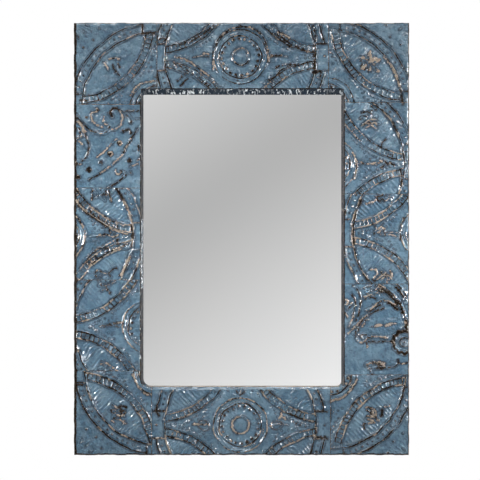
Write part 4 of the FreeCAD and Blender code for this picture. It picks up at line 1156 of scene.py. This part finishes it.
def wearValues(relief, x, z, away, slope, seam, fade):
    # where the paint is worn, how dark it is there, and how much the lip is darkened by grime and painted
    # shade
    shape = cladding
    crest = relief.crest * fade * np.clip(0.9 + 0.22 * softNoise(x, z, 45, 61), 0.3, 1.25)
    tone = relief.tone

    def mark(strength, shade):
        nonlocal crest, tone
        tone = np.where(strength > crest, shade, tone)
        crest = np.maximum(crest, strength)

    # the outer edges worn dark, which also paints the shade of the turned edge
    inwards = {"left": shape["halfWidth"] + x, "right": shape["halfWidth"] - x,
               "bottom": shape["halfHeight"] + z, "top": shape["halfHeight"] - z}
    for side, (strength, start, width, shade) in unevenness["edgeWearShade"].items():
        mark(strength * np.exp(-(np.clip(inwards[side] - start, 0, 99) / width) ** 2), shade)
    under = z < shape["glassBottom"] + 1
    # the sight edge worn dark, which also paints the shade where it turns into the lip
    below, right, left = unevenness["sightWearShade"]
    strength = np.where(under, below, np.where(x > 0, right, left))
    mark(strength * np.exp(-((away - slope - 0.6) / 1.1) ** 2), -0.8)
    mark(np.where((away < 1.8) & under, 1.1, 0.0), 2.0)
    mark(0.55 * np.exp(-(seam / 0.8) ** 2), -2.0)
    sides = (z < shape["glassTop"] - 1) & (z > shape["glassBottom"] + 3)
    # painted shade on the lip: strong at the sides and above, where it faces away from the light, faint below
    lip = smooth(away, slope + 0.6, slope - 0.4) * np.where(sides, 0.9, np.where(z > 0, 0.95, 0.1))
    return {"crest": crest, "tone": tone, "footShade": np.clip(relief.footShade * fade, 0, 1), "lip": lip,
            "rise": np.clip(relief.rise * fade * relief.crisp / 4, 0, 1),
            "lipSide": np.where(sides, np.where(x > 0, 1.0, 0.35), 0.0)}


def outerReturn(edge, outwards):
    # the tin's turned edge, down the side of the wood
    shape = cladding
    levels = np.linspace(shape["front"] + shape["outerBend"], shape["returnEnd"], 9)
    layers = []
    for level in levels:
        layer = edge.copy()
        layer[:, 1] = level
        along = layer[:, 0] * outwards[1] + layer[:, 2] * outwards[0]
        dent = 0.12 * softNoise(along, along * 0 + level * 3, 24, 81) * (level > levels[0])
        dent = np.clip(dent, -0.3, 0.04)
        layer[:, 0] += outwards[0] * dent
        layer[:, 2] += outwards[1] * dent
        layers.append(layer)
    count = len(edge)
    index = np.arange(count * len(levels)).reshape(len(levels), count)
    points = np.vstack(layers)
    depth = points[:, 1]
    crest = 0.3 + 0.55 * smooth(depth, levels[0] + 2.5, levels[0])
    crest += 0.4 * smooth(depth, levels[-1] - 2, levels[-1])
    plain = np.zeros(len(points))
    values = {"crest": crest, "tone": plain + 0.25}
    for key in ("footShade", "lip", "lipSide", "rise"):
        values[key] = plain
    return points, gridFaces(index), values


def meshFrom(name, blocks):
    starts = np.cumsum([0] + [len(block[0]) for block in blocks])
    points = np.vstack([block[0] for block in blocks]) * mm
    quads = np.vstack([block[1] + start for block, start in zip(blocks, starts)])
    used = np.zeros(len(points), dtype=bool)
    used[quads.ravel()] = True
    renumber = np.cumsum(used) - 1
    points, quads = points[used], renumber[quads]
    mesh = bpy.data.meshes.new(name)
    mesh.vertices.add(len(points))
    mesh.vertices.foreach_set("co", points.astype(np.float32).ravel())
    mesh.loops.add(quads.size)
    mesh.loops.foreach_set("vertex_index", quads.astype(np.int32).ravel())
    mesh.polygons.add(len(quads))
    mesh.polygons.foreach_set("loop_start", np.arange(0, quads.size, 4, dtype=np.int32))
    mesh.update(calc_edges=True)
    for key in blocks[0][2]:
        layer = mesh.attributes.new(key, "FLOAT", "POINT")
        value = np.concatenate([block[2][key] for block in blocks])
        layer.data.foreach_set("value", value[used].astype(np.float32))
    mesh.polygons.foreach_set("use_smooth", np.ones(len(quads), dtype=bool))
    piece = bpy.data.objects.new(name, mesh)
    scene.collection.objects.link(piece)
    return piece


def deselectAll():
    for other in bpy.context.selected_objects:
        other.select_set(False)


def activate(piece):
    deselectAll()
    piece.select_set(True)
    bpy.context.view_layer.objects.active = piece


def applyModifiers(piece):
    activate(piece)
    for modifier in list(piece.modifiers):
        bpy.ops.object.modifier_apply(modifier=modifier.name)


def dressLips(piece):
    # the side lips are grimy and darkened as painted shade, but for a stretch on the left that still has its
    # gloss
    mesh = piece.data
    low, high = cladding["glossyLip"]
    lipSide, lip = np.zeros((2, len(mesh.vertices)), dtype=np.float32)
    mesh.attributes["lipSide"].data.foreach_get("value", lipSide)
    mesh.attributes["lip"].data.foreach_get("value", lip)
    for face in mesh.polygons:
        side = min(lipSide[corner] for corner in face.vertices)
        inside = min(lip[corner] for corner in face.vertices)
        glossy = face.center.x < 0 and low * mm < face.center.z < high * mm
        if side > 0.3 and inside > 0.3 and not glossy:
            face.material_index = 2
        if side < 0.3 and inside > 0.3 and face.center.z > 0:
            face.material_index = 3


def weldAndRim(piece):
    activate(piece)
    bpy.ops.object.mode_set(mode="EDIT")
    bpy.ops.mesh.select_all(action="SELECT")
    bpy.ops.mesh.remove_doubles(threshold=0.00002)
    bpy.ops.object.mode_set(mode="OBJECT")
    rim = piece.modifiers.new("rim", "SOLIDIFY")
    rim.thickness = cladding["thickness"] * mm
    rim.offset = -1
    rim.use_rim = True
    rim.use_rim_only = True
    rim.material_offset_rim = 1
    applyModifiers(piece)


for name, outline in panelOutlines().items():
    piece = makePanel(name, outline)
    for material in (paint, rawEdge, lipGrimeShade, topLip):
        piece.data.materials.append(material)
    dressLips(piece)
    weldAndRim(piece)
    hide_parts(name)
    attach(piece, "root")
    print("tile panel", name, len(piece.data.polygons))

# Plain materials for the pieces carried over from the frame


def makePine(name, along, rings=14):
    # the grain runs along each board: up the stiles and across the rails
    def stretched(across, lengthwise):
        return tuple(lengthwise if axis == along else across for axis in "XYZ")

    material, tree, shader = newMaterial(name)
    bands = addNode(tree, "TexWave", wave_type="BANDS", bands_direction="Z" if along == "X" else "X")
    for key, value in (("Vector", objectPoint(tree, stretched(1, 0.12))), ("Scale", rings), ("Distortion", 9),
                       ("Detail", 3), ("Detail Scale", 0.6), ("Detail Roughness", 0.6)):
        feed(tree, value, bands.inputs[key])
    grain = noise(tree, objectPoint(tree, stretched(60, 3)), 7, 4, 0.6)
    broad = noise(tree, objectPoint(tree, stretched(3, 0.6)), 4, 2, 0.5)
    ringMark = ramp(tree, bands.outputs["Fac"], 0.25, 0.95)
    colour = mixColour(tree, ringMark, (0.56, 0.4, 0.235), (0.43, 0.275, 0.14))
    colour = mixColour(tree, ramp(tree, broad, 0.35, 0.7, 0, 0.6), colour, (0.5, 0.36, 0.21))
    colour = mixColour(tree, ramp(tree, grain, 0.45, 0.72, 0, 0.45), colour, (0.32, 0.2, 0.1))
    tree.links.new(colour, shader.inputs["Base Color"])
    shader.inputs["Roughness"].default_value = 0.62
    tree.links.new(bump(tree, grain, 0.0003, 0.5), shader.inputs["Normal"])
    return material


def makeHardboard():
    material, tree, shader = newMaterial("hardboardBack")
    fibre = noise(tree, objectPoint(tree), 300, 4, 0.7)
    mottled = noise(tree, objectPoint(tree), 5, 3, 0.5)
    colour = mixColour(tree, ramp(tree, mottled, 0.3, 0.75), (0.25, 0.155, 0.09), (0.215, 0.128, 0.072))
    colour = mixColour(tree, ramp(tree, fibre, 0.5, 0.75, 0, 0.5), colour, (0.36, 0.24, 0.15))
    tree.links.new(colour, shader.inputs["Base Color"])
    shader.inputs["Roughness"].default_value = 0.5
    tree.links.new(bump(tree, fibre, 0.0002, 0.4), shader.inputs["Normal"])
    return material


def makeZinc():
    material = makeFinish("brightZinc", (500, 3, 0.6), (0.4, 0.65), ((0.62, 0.62, 0.6), (0.45, 0.45, 0.43)),
                          0.4, (0.0001, 0.3), 1.0)
    # the coat is duller in clouds
    tree = material.node_tree
    dull = noise(tree, objectPoint(tree), 90, 3, 0.6)
    roughness = tree.nodes["Principled BSDF"].inputs["Roughness"]
    tree.links.new(ramp(tree, dull, 0.35, 0.65, 0.3, 0.45), roughness)
    return material


def dress(material, *names):
    for name in names:
        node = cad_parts[name]
        node.data.materials.clear()
        node.data.materials.append(material)


# the silver and the polish vary by less than the eye sees at once
silver = makeFinish("silveredGlass", (6, 3, 0.5), (0.3, 0.7), ((0.945, 0.95, 0.95), (0.955, 0.955, 0.952)),
                    (0.008, 0.014), None, 1.0)
zinc = makeZinc()
rubber = makeFinish("blackRubber", (700, 2, 0.5), (0.4, 0.7), ((0.02, 0.02, 0.02), (0.045, 0.045, 0.045)),
                    0.7, (0.0001, 0.4))
nailPaint = makeFinish("paintedNail", (500, 3, 0.6), (0.42, 0.6), ((0.07, 0.09, 0.11), (0.2, 0.15, 0.1)),
                       0.35, (0.0002, 0.5))
dress(silver, "mirror_glass")
dress(makePine("uprightPine", "Z"), "stile_left", "stile_right")
dress(makePine("crosswisePine", "X", 19), "rail_top", "rail_bottom")
dress(makeHardboard(), "backing_board")
dress(zinc, "mitre_fasteners")
dress(nailPaint, "outer_edge_nails", "sight_edge_brads")
print("carried-over pieces dressed")

# The hangers, screws, tacks and bumpers behind, in millimetres

hangers = {
    "x": 244.0,
    "axisY": -3.64,
    "axisZ": 243.5,
    "wire": 1.3,
    "eyeMiddle": 1.86,
    "ringHalfWidth": 9.3,
    "ringBend": 3.0,
    "ringArm": 5.0,
    "ringTopGap": 0.3,
    "strapWidth": 12.0,
    "sheet": 1.0,
    "strapLength": 38.0,
    "strapEndRadius": 5.0,
    "eyeTurn": 259,
    "backBend": 1.464,
    "strapSoftness": 0.16,
    "screwDrops": (20.5, 32.0),
}
fixings = {
    "woodBack": -6.0,
    "boardBack": -3.0,
    "screwRadius": 1.6,
    "screwHead": 3.2,
    "screwHeadHeight": 1.5,
    "screwLength": 14.0,
    "screwTip": 0.5,
    "screwDome": 1.15,
    "screwRecess": (3.4, 1.9, 0.62),
    "tackHead": 3.1,
    "tackHeadHeight": 1.2,
    "tackRadius": 0.9,
    "tackLength": 12.0,
    "tackDome": 0.95,
    "tackFlat": 0.7,
    "tackDip": 0.12,
    "tackX": 195.5,
    "tackZ": 281.5,
    "tackInset": 70.0,
    "bumperRadius": 9.0,
    "bumperTaper": 0.9,
    "bumperLand": 3.2,
    "bumperDishWall": 0.9,
    "bumperDish": 0.7,
    "bumperRound": 1.2,
    "bumperX": 281.0,
    "bumperZ": 369.5,
}


def settle(piece):
    # the object's place and turn go into its mesh
    activate(piece)
    bpy.ops.object.transform_apply(location=True, rotation=True, scale=True)


def startEditing(piece):
    activate(piece)
    bpy.ops.object.mode_set(mode="EDIT")
    bpy.ops.mesh.select_mode(type="VERT")
    bpy.ops.mesh.select_all(action="SELECT")


def layCylinder(sides, radius, height, level):
    # a short cylinder that points to the wall, its middle at this level, left in edit mode
    deselectAll()
    bpy.ops.mesh.primitive_cylinder_add(vertices=sides, radius=radius * mm, depth=height * mm,
                                        location=(0, level * mm, 0), rotation=(math.pi / 2, 0, 0))
    cylinder = bpy.context.object
    settle(cylinder)
    startEditing(cylinder)
    return cylinder


def extrudeBy(x, y, z):
    bpy.ops.mesh.extrude_region_move(TRANSFORM_OT_translate={"value": (x * mm, y * mm, z * mm)})


def spinRound(degrees, steps, centre, axis):
    centre = [part * mm for part in centre]
    bpy.ops.mesh.spin(steps=steps, angle=math.radians(degrees), center=centre, axis=axis)


def weld():
    bpy.ops.mesh.select_all(action="SELECT")
    bpy.ops.mesh.remove_doubles(threshold=0.00001)
    bpy.ops.mesh.normals_make_consistent(inside=False)
    bpy.ops.object.mode_set(mode="OBJECT")


def selectFaces(piece, wanted):
    # in edit mode: the faces whose middle and normal suit
    bpy.ops.mesh.select_all(action="DESELECT")
    bpy.ops.object.mode_set(mode="OBJECT")
    for face in piece.data.polygons:
        face.select = wanted(face.center / mm, face.normal)
    bpy.ops.object.mode_set(mode="EDIT")
    bpy.ops.mesh.select_mode(type="FACE")


def selectEdges(piece, wanted):
    # in edit mode: the edges whose two ends suit
    bpy.ops.mesh.select_mode(type="EDGE")
    bpy.ops.mesh.select_all(action="DESELECT")
    bpy.ops.object.mode_set(mode="OBJECT")
    points = piece.data.vertices
    for edge in piece.data.edges:
        edge.select = wanted(points[edge.vertices[0]].co / mm, points[edge.vertices[1]].co / mm)
    bpy.ops.object.mode_set(mode="EDIT")


def soften(piece, width, segments, angle=30):
    edges = piece.modifiers.new("softEdges", "BEVEL")
    edges.width = width * mm
    edges.segments = segments
    edges.limit_method = "ANGLE"
    edges.angle_limit = math.radians(angle)
    applyModifiers(piece)


def finishSmooth(piece, angle=35):
    activate(piece)
    bpy.ops.object.shade_smooth_by_angle(angle=math.radians(angle))


def makeRing():
    # a bar, two bends, two arms and a half circle of round wire, about the eye's axis
    size = hangers
    bend, arm = size["ringBend"], size["ringArm"]
    straight = size["ringHalfWidth"] - bend
    deselectAll()
    bpy.ops.mesh.primitive_circle_add(vertices=20, radius=size["wire"] * mm, location=(-straight * mm, 0, 0),
                                      rotation=(0, math.pi / 2, 0))
    ring = bpy.context.object
    settle(ring)
    startEditing(ring)
    extrudeBy(2 * straight, 0, 0)
    spinRound(90, 8, (straight, 0, bend), (0, 1, 0))
    extrudeBy(0, 0, arm - bend)
    spinRound(180, 32, (0, 0, arm), (0, 1, 0))
    extrudeBy(0, 0, bend - arm)
    spinRound(90, 8, (-straight, 0, bend), (0, 1, 0))
    weld()
    finishSmooth(ring)
    return ring


def makeStrap():
    # one strip of sheet, folded round the bar: up the wood, round the eye and down again
    size = hangers
    half, sheet = size["strapWidth"] / 2, size["sheet"]
    eye = size["eyeMiddle"]
    deselectAll()
    bpy.ops.mesh.primitive_plane_add(size=1, location=(0, -eye * mm, -size["strapLength"] * mm))
    strap = bpy.context.object
    strap.scale = (2 * half * mm, sheet * mm, 1)
    settle(strap)
    startEditing(strap)
    bpy.ops.mesh.delete(type="ONLY_FACE")
    bpy.ops.mesh.select_all(action="SELECT")
    extrudeBy(0, 0, size["strapLength"])
    # the second bend brings the strip back beside itself
    turn = size["eyeTurn"]
    radians, reach = math.radians(turn), eye + size["backBend"]
    spinRound(turn, 28, (0, 0, 0), (1, 0, 0))
    centre = (0, -reach * math.cos(radians), reach * math.sin(radians))
    spinRound(270 - (450 - turn) % 360, 7, centre, (-1, 0, 0))
    extrudeBy(0, 0, -size["strapLength"] - centre[2])
    bpy.ops.object.mode_set(mode="OBJECT")
    startEditing(strap)
    bpy.ops.mesh.remove_doubles(threshold=0.00001)
    end = 0.01 - size["strapLength"]
    for low, high in ((-eye - 0.6, -eye + 0.51), (-eye + 0.52, -eye + 1.6)):
        selectEdges(strap, lambda one, two: max(one.z, two.z) < end and low < (one.y + two.y) / 2 < high)
        bpy.ops.mesh.edge_face_add()
    weld()
    # rounded far corners
    startEditing(strap)
    selectEdges(strap, lambda one, two: max(one.z, two.z) < end and abs(one.x - two.x) < 0.01)
    bpy.ops.mesh.bevel(offset=size["strapEndRadius"] * mm, segments=7, affect="EDGES")
    weld()
    soften(strap, size["strapSoftness"], 2)
    finishSmooth(strap)
    return strap


def makeScrew():
    # pan head with a cross recess, its underside at the origin and its shank towards the front
    size = fixings
    high = size["screwHeadHeight"]
    screw = layCylinder(28, size["screwHead"], high, high / 2)
    selectFaces(screw, lambda middle, normal: normal.y < -0.9)
    bpy.ops.mesh.inset(thickness=(size["screwHead"] - size["screwRadius"]) * mm)
    extrudeBy(0, -size["screwLength"], 0)
    bpy.ops.mesh.bevel(offset=size["screwTip"] * mm, segments=2, affect="EDGES")
    selectEdges(screw, lambda one, two: min(one.y, two.y) > high - 0.01)
    bpy.ops.mesh.bevel(offset=size["screwDome"] * mm, segments=5, affect="EDGES")
    bpy.ops.object.mode_set(mode="OBJECT")
    for turned in (0, math.pi / 2):
        deselectAll()
        bpy.ops.mesh.primitive_cube_add(size=1, location=(0, high * mm, 0), rotation=(0, turned, 0))
        blade = bpy.context.object
        blade.scale = [part * mm for part in size["screwRecess"]]
        settle(blade)
        cut = screw.modifiers.new("recess", "BOOLEAN")
        cut.operation = "DIFFERENCE"
        cut.object = blade
        applyModifiers(screw)
        bpy.data.objects.remove(blade)
    finishSmooth(screw)
    return screw


def makeTack():
    # a low domed head, its underside at the origin
    size = fixings
    high = size["tackHeadHeight"]
    tack = layCylinder(20, size["tackHead"], high, high / 2)
    selectFaces(tack, lambda middle, normal: normal.y < -0.9)
    bpy.ops.mesh.inset(thickness=(size["tackHead"] - size["tackRadius"]) * mm)
    extrudeBy(0, -size["tackLength"], 0)
    bpy.ops.mesh.merge(type="CENTER")
    selectEdges(tack, lambda one, two: min(one.y, two.y) > high - 0.01)
    bpy.ops.mesh.bevel(offset=size["tackDome"] * mm, segments=4, affect="EDGES")
    selectFaces(tack, lambda middle, normal: normal.y > 0.98 and middle.y > high - 0.01)
    bpy.ops.mesh.inset(thickness=size["tackFlat"] * mm)
    bpy.ops.transform.translate(value=(0, -size["tackDip"] * mm, 0))
    bpy.ops.object.mode_set(mode="OBJECT")
    finishSmooth(tack, 50)
    return tack


def makeBumper():
    # moulded rubber, a little narrower at the wall, with a shallow dish in its face
    size = fixings
    bumper = layCylinder(40, size["bumperRadius"], -size["woodBack"], size["woodBack"] / 2)
    selectFaces(bumper, lambda middle, normal: normal.y > 0.9)
    bpy.ops.transform.resize(value=(size["bumperTaper"], 1, size["bumperTaper"]))
    bpy.ops.mesh.inset(thickness=size["bumperLand"] * mm)
    bpy.ops.mesh.inset(thickness=size["bumperDishWall"] * mm, depth=-size["bumperDish"] * mm)
    selectEdges(bumper, lambda one, two: min(one.y, two.y) > -0.01
                and min(math.hypot(one.x, one.z), math.hypot(two.x, two.z)) > size["bumperRadius"] - 1.5)
    bpy.ops.mesh.bevel(offset=size["bumperRound"] * mm, segments=4, affect="EDGES")
    bpy.ops.object.mode_set(mode="OBJECT")
    finishSmooth(bumper)
    return bumper


def placeCopy(pattern, name, place, turn=(0, 0, 0)):
    single = pattern.copy()
    single.data = pattern.data.copy()
    single.name = name
    scene.collection.objects.link(single)
    single.rotation_euler = turn
    single.location = [part * mm for part in place]
    settle(single)
    return single


def copiesAt(pattern, name, places):
    # a copy at each place, turned a little further each time, joined to one piece
    copies = []
    for number, place in enumerate(places):
        copies.append(placeCopy(pattern, name, place, (0, 0.4 + 1.7 * number, 0)))
    deselectAll()
    for single in copies:
        single.select_set(True)
    bpy.context.view_layer.objects.active = copies[0]
    bpy.ops.object.join()
    return copies[0]


def standFor(piece, node, material, body="root"):
    piece.data.materials.append(material)
    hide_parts(node)
    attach(piece, body)
    print("fixing", piece.name, len(piece.data.polygons))


def addHangers():
    size, other = hangers, fixings
    ring, strap, screw = makeRing(), makeStrap(), makeScrew()
    drop = size["axisY"] - other["woodBack"] - size["ringTopGap"] - size["wire"]
    lean = math.asin(drop / (size["ringArm"] + size["ringHalfWidth"]))
    screwPlaces = []
    for side, label, x in (("left", "Left", -size["x"]), ("right", "Right", size["x"])):
        axis = (x, size["axisY"], size["axisZ"])
        turned = placeCopy(ring, "dRing" + label, axis, (lean, 0, 0))
        standFor(turned, "hanger_ring_" + side, zinc, "ring_" + side)
        standFor(placeCopy(strap, "strap" + label, axis), "hanger_strap_" + side, zinc)
        for fall in size["screwDrops"]:
            screwPlaces.append((x, other["woodBack"] + 2 * size["sheet"], size["axisZ"] - fall))
    standFor(copiesAt(screw, "strapScrews", screwPlaces), "hanger_screws", zinc)
    for pattern in (ring, strap, screw):
        bpy.data.objects.remove(pattern)


def addTacksAndBumpers():
    size = fixings
    x, z, level = size["tackX"], size["tackZ"], size["boardBack"]
    places = [(side * x, level, up * (z - size["tackInset"])) for side in (-1, 1) for up in (-1, 0, 1)]
    places += [(side * (x - size["tackInset"]), level, up * z) for side in (-1, 1) for up in (-1, 1)]
    tack, bumper = makeTack(), makeBumper()
    standFor(copiesAt(tack, "boardTacks", places), "backing_tacks", zinc)
    for row, up in (("top", 1), ("bottom", -1)):
        for side, out in (("left", -1), ("right", 1)):
            place = (out * size["bumperX"], 0, up * size["bumperZ"])
            single = placeCopy(bumper, "bumper" + row.title() + side.title(), place)
            standFor(single, "bumper_" + row + "_" + side, rubber)
    for pattern in (tack, bumper):
        bpy.data.objects.remove(pattern)


addHangers()
addTacksAndBumpers()

# Studio

studio = {
    "cameraDistance": 3.2,
    "frameFront": 0.0255,
    "lens": 131.7,
    "centreX": -0.0027,
    "centreZ": -0.0018,
    "worldDiffuse": 0.06,
    "roomGlow": 0.18,
    # the room behind the viewer, as the mirror shows it: how fast the tone changes to the side and up, where
    # the middle of the dark band lies, how softly it turns, and the two tones
    "bandTilt": (978.0, -1459.0),
    "bandPlace": 52.4,
    "bandSoftness": 900.0,
    "bandReach": 235,
    "bandTones": (0.415, 0.9),
    "bandEnds": (-0.96, -0.985),
    "floorHeight": -1.6,
    "floorSize": 6.0,
    "floorGlow": 0.6,
}
# each lamp's name, place, aim, width and height, watts, and spread in degrees
lamps = (
    ("topSoftbox", (-0.4, -0.9, 1.9), (0, 0, 0), (0.7, 0.25), 10.3, 180),
    ("rightSoftbox", (1.9, -0.9, 0.12), (0.1, 0, -0.02), (0.24, 0.4), 2.2, 36),
    ("leftSoftbox", (-1.9, -0.9, 0.2), (-0.1, 0, -0.02), (0.24, 0.4), 2.2, 36),
    ("upperLeftSoftbox", (-1.5, -1.3, 1.3), (0, 0, 0), (0.32, 0.32), 1.2, 180),
    ("upperRightSoftbox", (1.5, -1.3, 1.3), (0, 0, 0), (0.32, 0.32), 1.5, 180),
    ("lowerRightSoftbox", (1.5, -1.1, -1.2), (0, 0, 0), (0.3, 0.3), 1.2, 180),
    ("lowerLeftSoftbox", (-1.5, -1.1, -1.2), (0, 0, 0), (0.3, 0.3), 1.2, 180),
    ("highSoftbox", (0.2, -2.4, 1.5), (0, 0, 0), (0.7, 0.15), 4.5, 180),
    ("nearLeftSoftbox", (-1.5, -2.3, 1.0), (0, 0, 0), (0.25, 0.25), 2, 180),
    ("nearRightSoftbox", (1.5, -2.3, 1.0), (0, 0, 0), (0.25, 0.25), 2, 180),
    ("lowSoftbox", (0.04, -0.75, -1.5), (0, 0, 0), (0.16, 0.1), 2, 180),
    ("upperGlint", (-0.9, -1.1, 1.3), (0, 0, -0.1), (0.1, 0.1), 2.9, 180),
    ("rightGlint", (1.2, -1.6, 1.1), (0, 0, 0), (0.12, 0.12), 1.5, 180),
    ("sideGlint", (1.55, -2.3, -0.03), (0, 0, -0.03), (0.12, 0.2), 2.3, 180),
    ("backLeftSoftbox", (1.5, 2.0, 1.2), (0, 0, 0), (1.0, 1.0), 38, 180),
    ("backRightSoftbox", (-1.7, 1.6, 0.2), (0, 0, 0), (0.8, 0.8), 16, 180),
)


def background(tree, strength):
    node = addNode(tree, "Background")
    node.inputs["Color"].default_value = (1, 1, 1, 1)
    node.inputs["Strength"].default_value = strength
    return node


def makeWorld():
    world = bpy.data.worlds.new("studio")
    scene.world = world
    world.use_nodes = True
    tree = world.node_tree
    tree.nodes.clear()
    output = addNode(tree, "OutputWorld")
    light = addNode(tree, "LightPath")
    where = addNode(tree, "TexCoord")
    parts = addNode(tree, "SeparateXYZ")
    tree.links.new(where.outputs["Generated"], parts.inputs[0])
    # a soft grey band crosses the room behind the viewer, darkest from lower left to upper right
    across, upward = studio["bandTilt"]
    tilt = add(tree, multiply(tree, parts.outputs["X"], across), multiply(tree, parts.outputs["Z"], upward))
    tilt = add(tree, tilt, studio["bandPlace"])
    tilt = combine(tree, "POWER", add(tree, multiply(tree, tilt, tilt), studio["bandSoftness"]), 0.5)
    level = ramp(tree, tilt, 0, studio["bandReach"], *studio["bandTones"], "LINEAR")
    # the band fades into a dim room to the sides
    ahead = ramp(tree, parts.outputs["Y"], *studio["bandEnds"])
    shade = multiply(tree, combine(tree, "SUBTRACT", level, studio["roomGlow"]), ahead)
    shade = add(tree, shade, studio["roomGlow"])
    seen = addNode(tree, "CombineColor")
    for channel in ("Red", "Green", "Blue"):
        tree.links.new(shade, seen.inputs[channel])
    plain, glossy, white = [background(tree, strength) for strength in (studio["worldDiffuse"], 1.0, 1.0)]
    tree.links.new(seen.outputs[0], glossy.inputs["Color"])
    first = addNode(tree, "MixShader")
    mirrored = combine(tree, "MAXIMUM", light.outputs["Is Glossy Ray"], light.outputs["Is Transmission Ray"])
    tree.links.new(mirrored, first.inputs[0])
    tree.links.new(plain.outputs[0], first.inputs[1])
    tree.links.new(glossy.outputs[0], first.inputs[2])
    second = addNode(tree, "MixShader")
    tree.links.new(light.outputs["Is Camera Ray"], second.inputs[0])
    tree.links.new(first.outputs[0], second.inputs[1])
    tree.links.new(white.outputs[0], second.inputs[2])
    tree.links.new(second.outputs[0], output.inputs["Surface"])


def addSoftbox(name, place, aim, size, power, spread):
    data = bpy.data.lights.new(name, "AREA")
    data.shape = "RECTANGLE"
    data.size, data.size_y = size
    data.energy = power
    data.spread = math.radians(spread)
    lamp = bpy.data.objects.new(name, data)
    scene.collection.objects.link(lamp)
    lamp.location = place
    lamp.rotation_mode = "QUATERNION"
    lamp.rotation_quaternion = (Vector(aim) - Vector(place)).to_track_quat("-Z", "Y")


def addCamera():
    data = bpy.data.cameras.new("camera")
    data.lens = studio["lens"]
    data.sensor_width = 36
    camera = bpy.data.objects.new("camera", data)
    scene.collection.objects.link(camera)
    distance = studio["cameraDistance"] + studio["frameFront"]
    camera.location = (studio["centreX"], -distance, studio["centreZ"])
    camera.rotation_euler = (math.pi / 2, 0, 0)
    scene.camera = camera


def addFloor():
    # the mirror hangs with its middle at eye height above a pale floor
    deselectAll()
    bpy.ops.mesh.primitive_plane_add(size=studio["floorSize"], location=(0, 0, studio["floorHeight"]))
    floor = bpy.context.object
    floor.name = "studioFloor"
    material, tree, shader = newMaterial("paleFloor")
    clouds = noise(tree, objectPoint(tree), 1.5, 2, 0.5)
    colour = mixColour(tree, ramp(tree, clouds, 0.3, 0.7), (0.66, 0.66, 0.65), (0.7, 0.7, 0.69))
    tree.links.new(colour, shader.inputs["Base Color"])
    shader.inputs["Roughness"].default_value = 0.8
    # it looks pale by itself and keeps part of the shadow
    light = addNode(tree, "LightPath")
    mirrored = combine(tree, "MAXIMUM", light.outputs["Is Glossy Ray"], light.outputs["Is Transmission Ray"])
    seen = combine(tree, "MAXIMUM", light.outputs["Is Camera Ray"], mirrored)
    pale = addNode(tree, "Emission")
    tree.links.new(colour, pale.inputs["Color"])
    both = addNode(tree, "MixShader")
    tree.links.new(multiply(tree, seen, studio["floorGlow"]), both.inputs[0])
    tree.links.new(shader.outputs[0], both.inputs[1])
    tree.links.new(pale.outputs[0], both.inputs[2])
    output = next(node for node in tree.nodes if node.type == "OUTPUT_MATERIAL")
    tree.links.new(both.outputs[0], output.inputs["Surface"])
    floor.data.materials.append(material)


makeWorld()
addFloor()
for lamp in lamps:
    addSoftbox(*lamp)
addCamera()

print("scene ready")
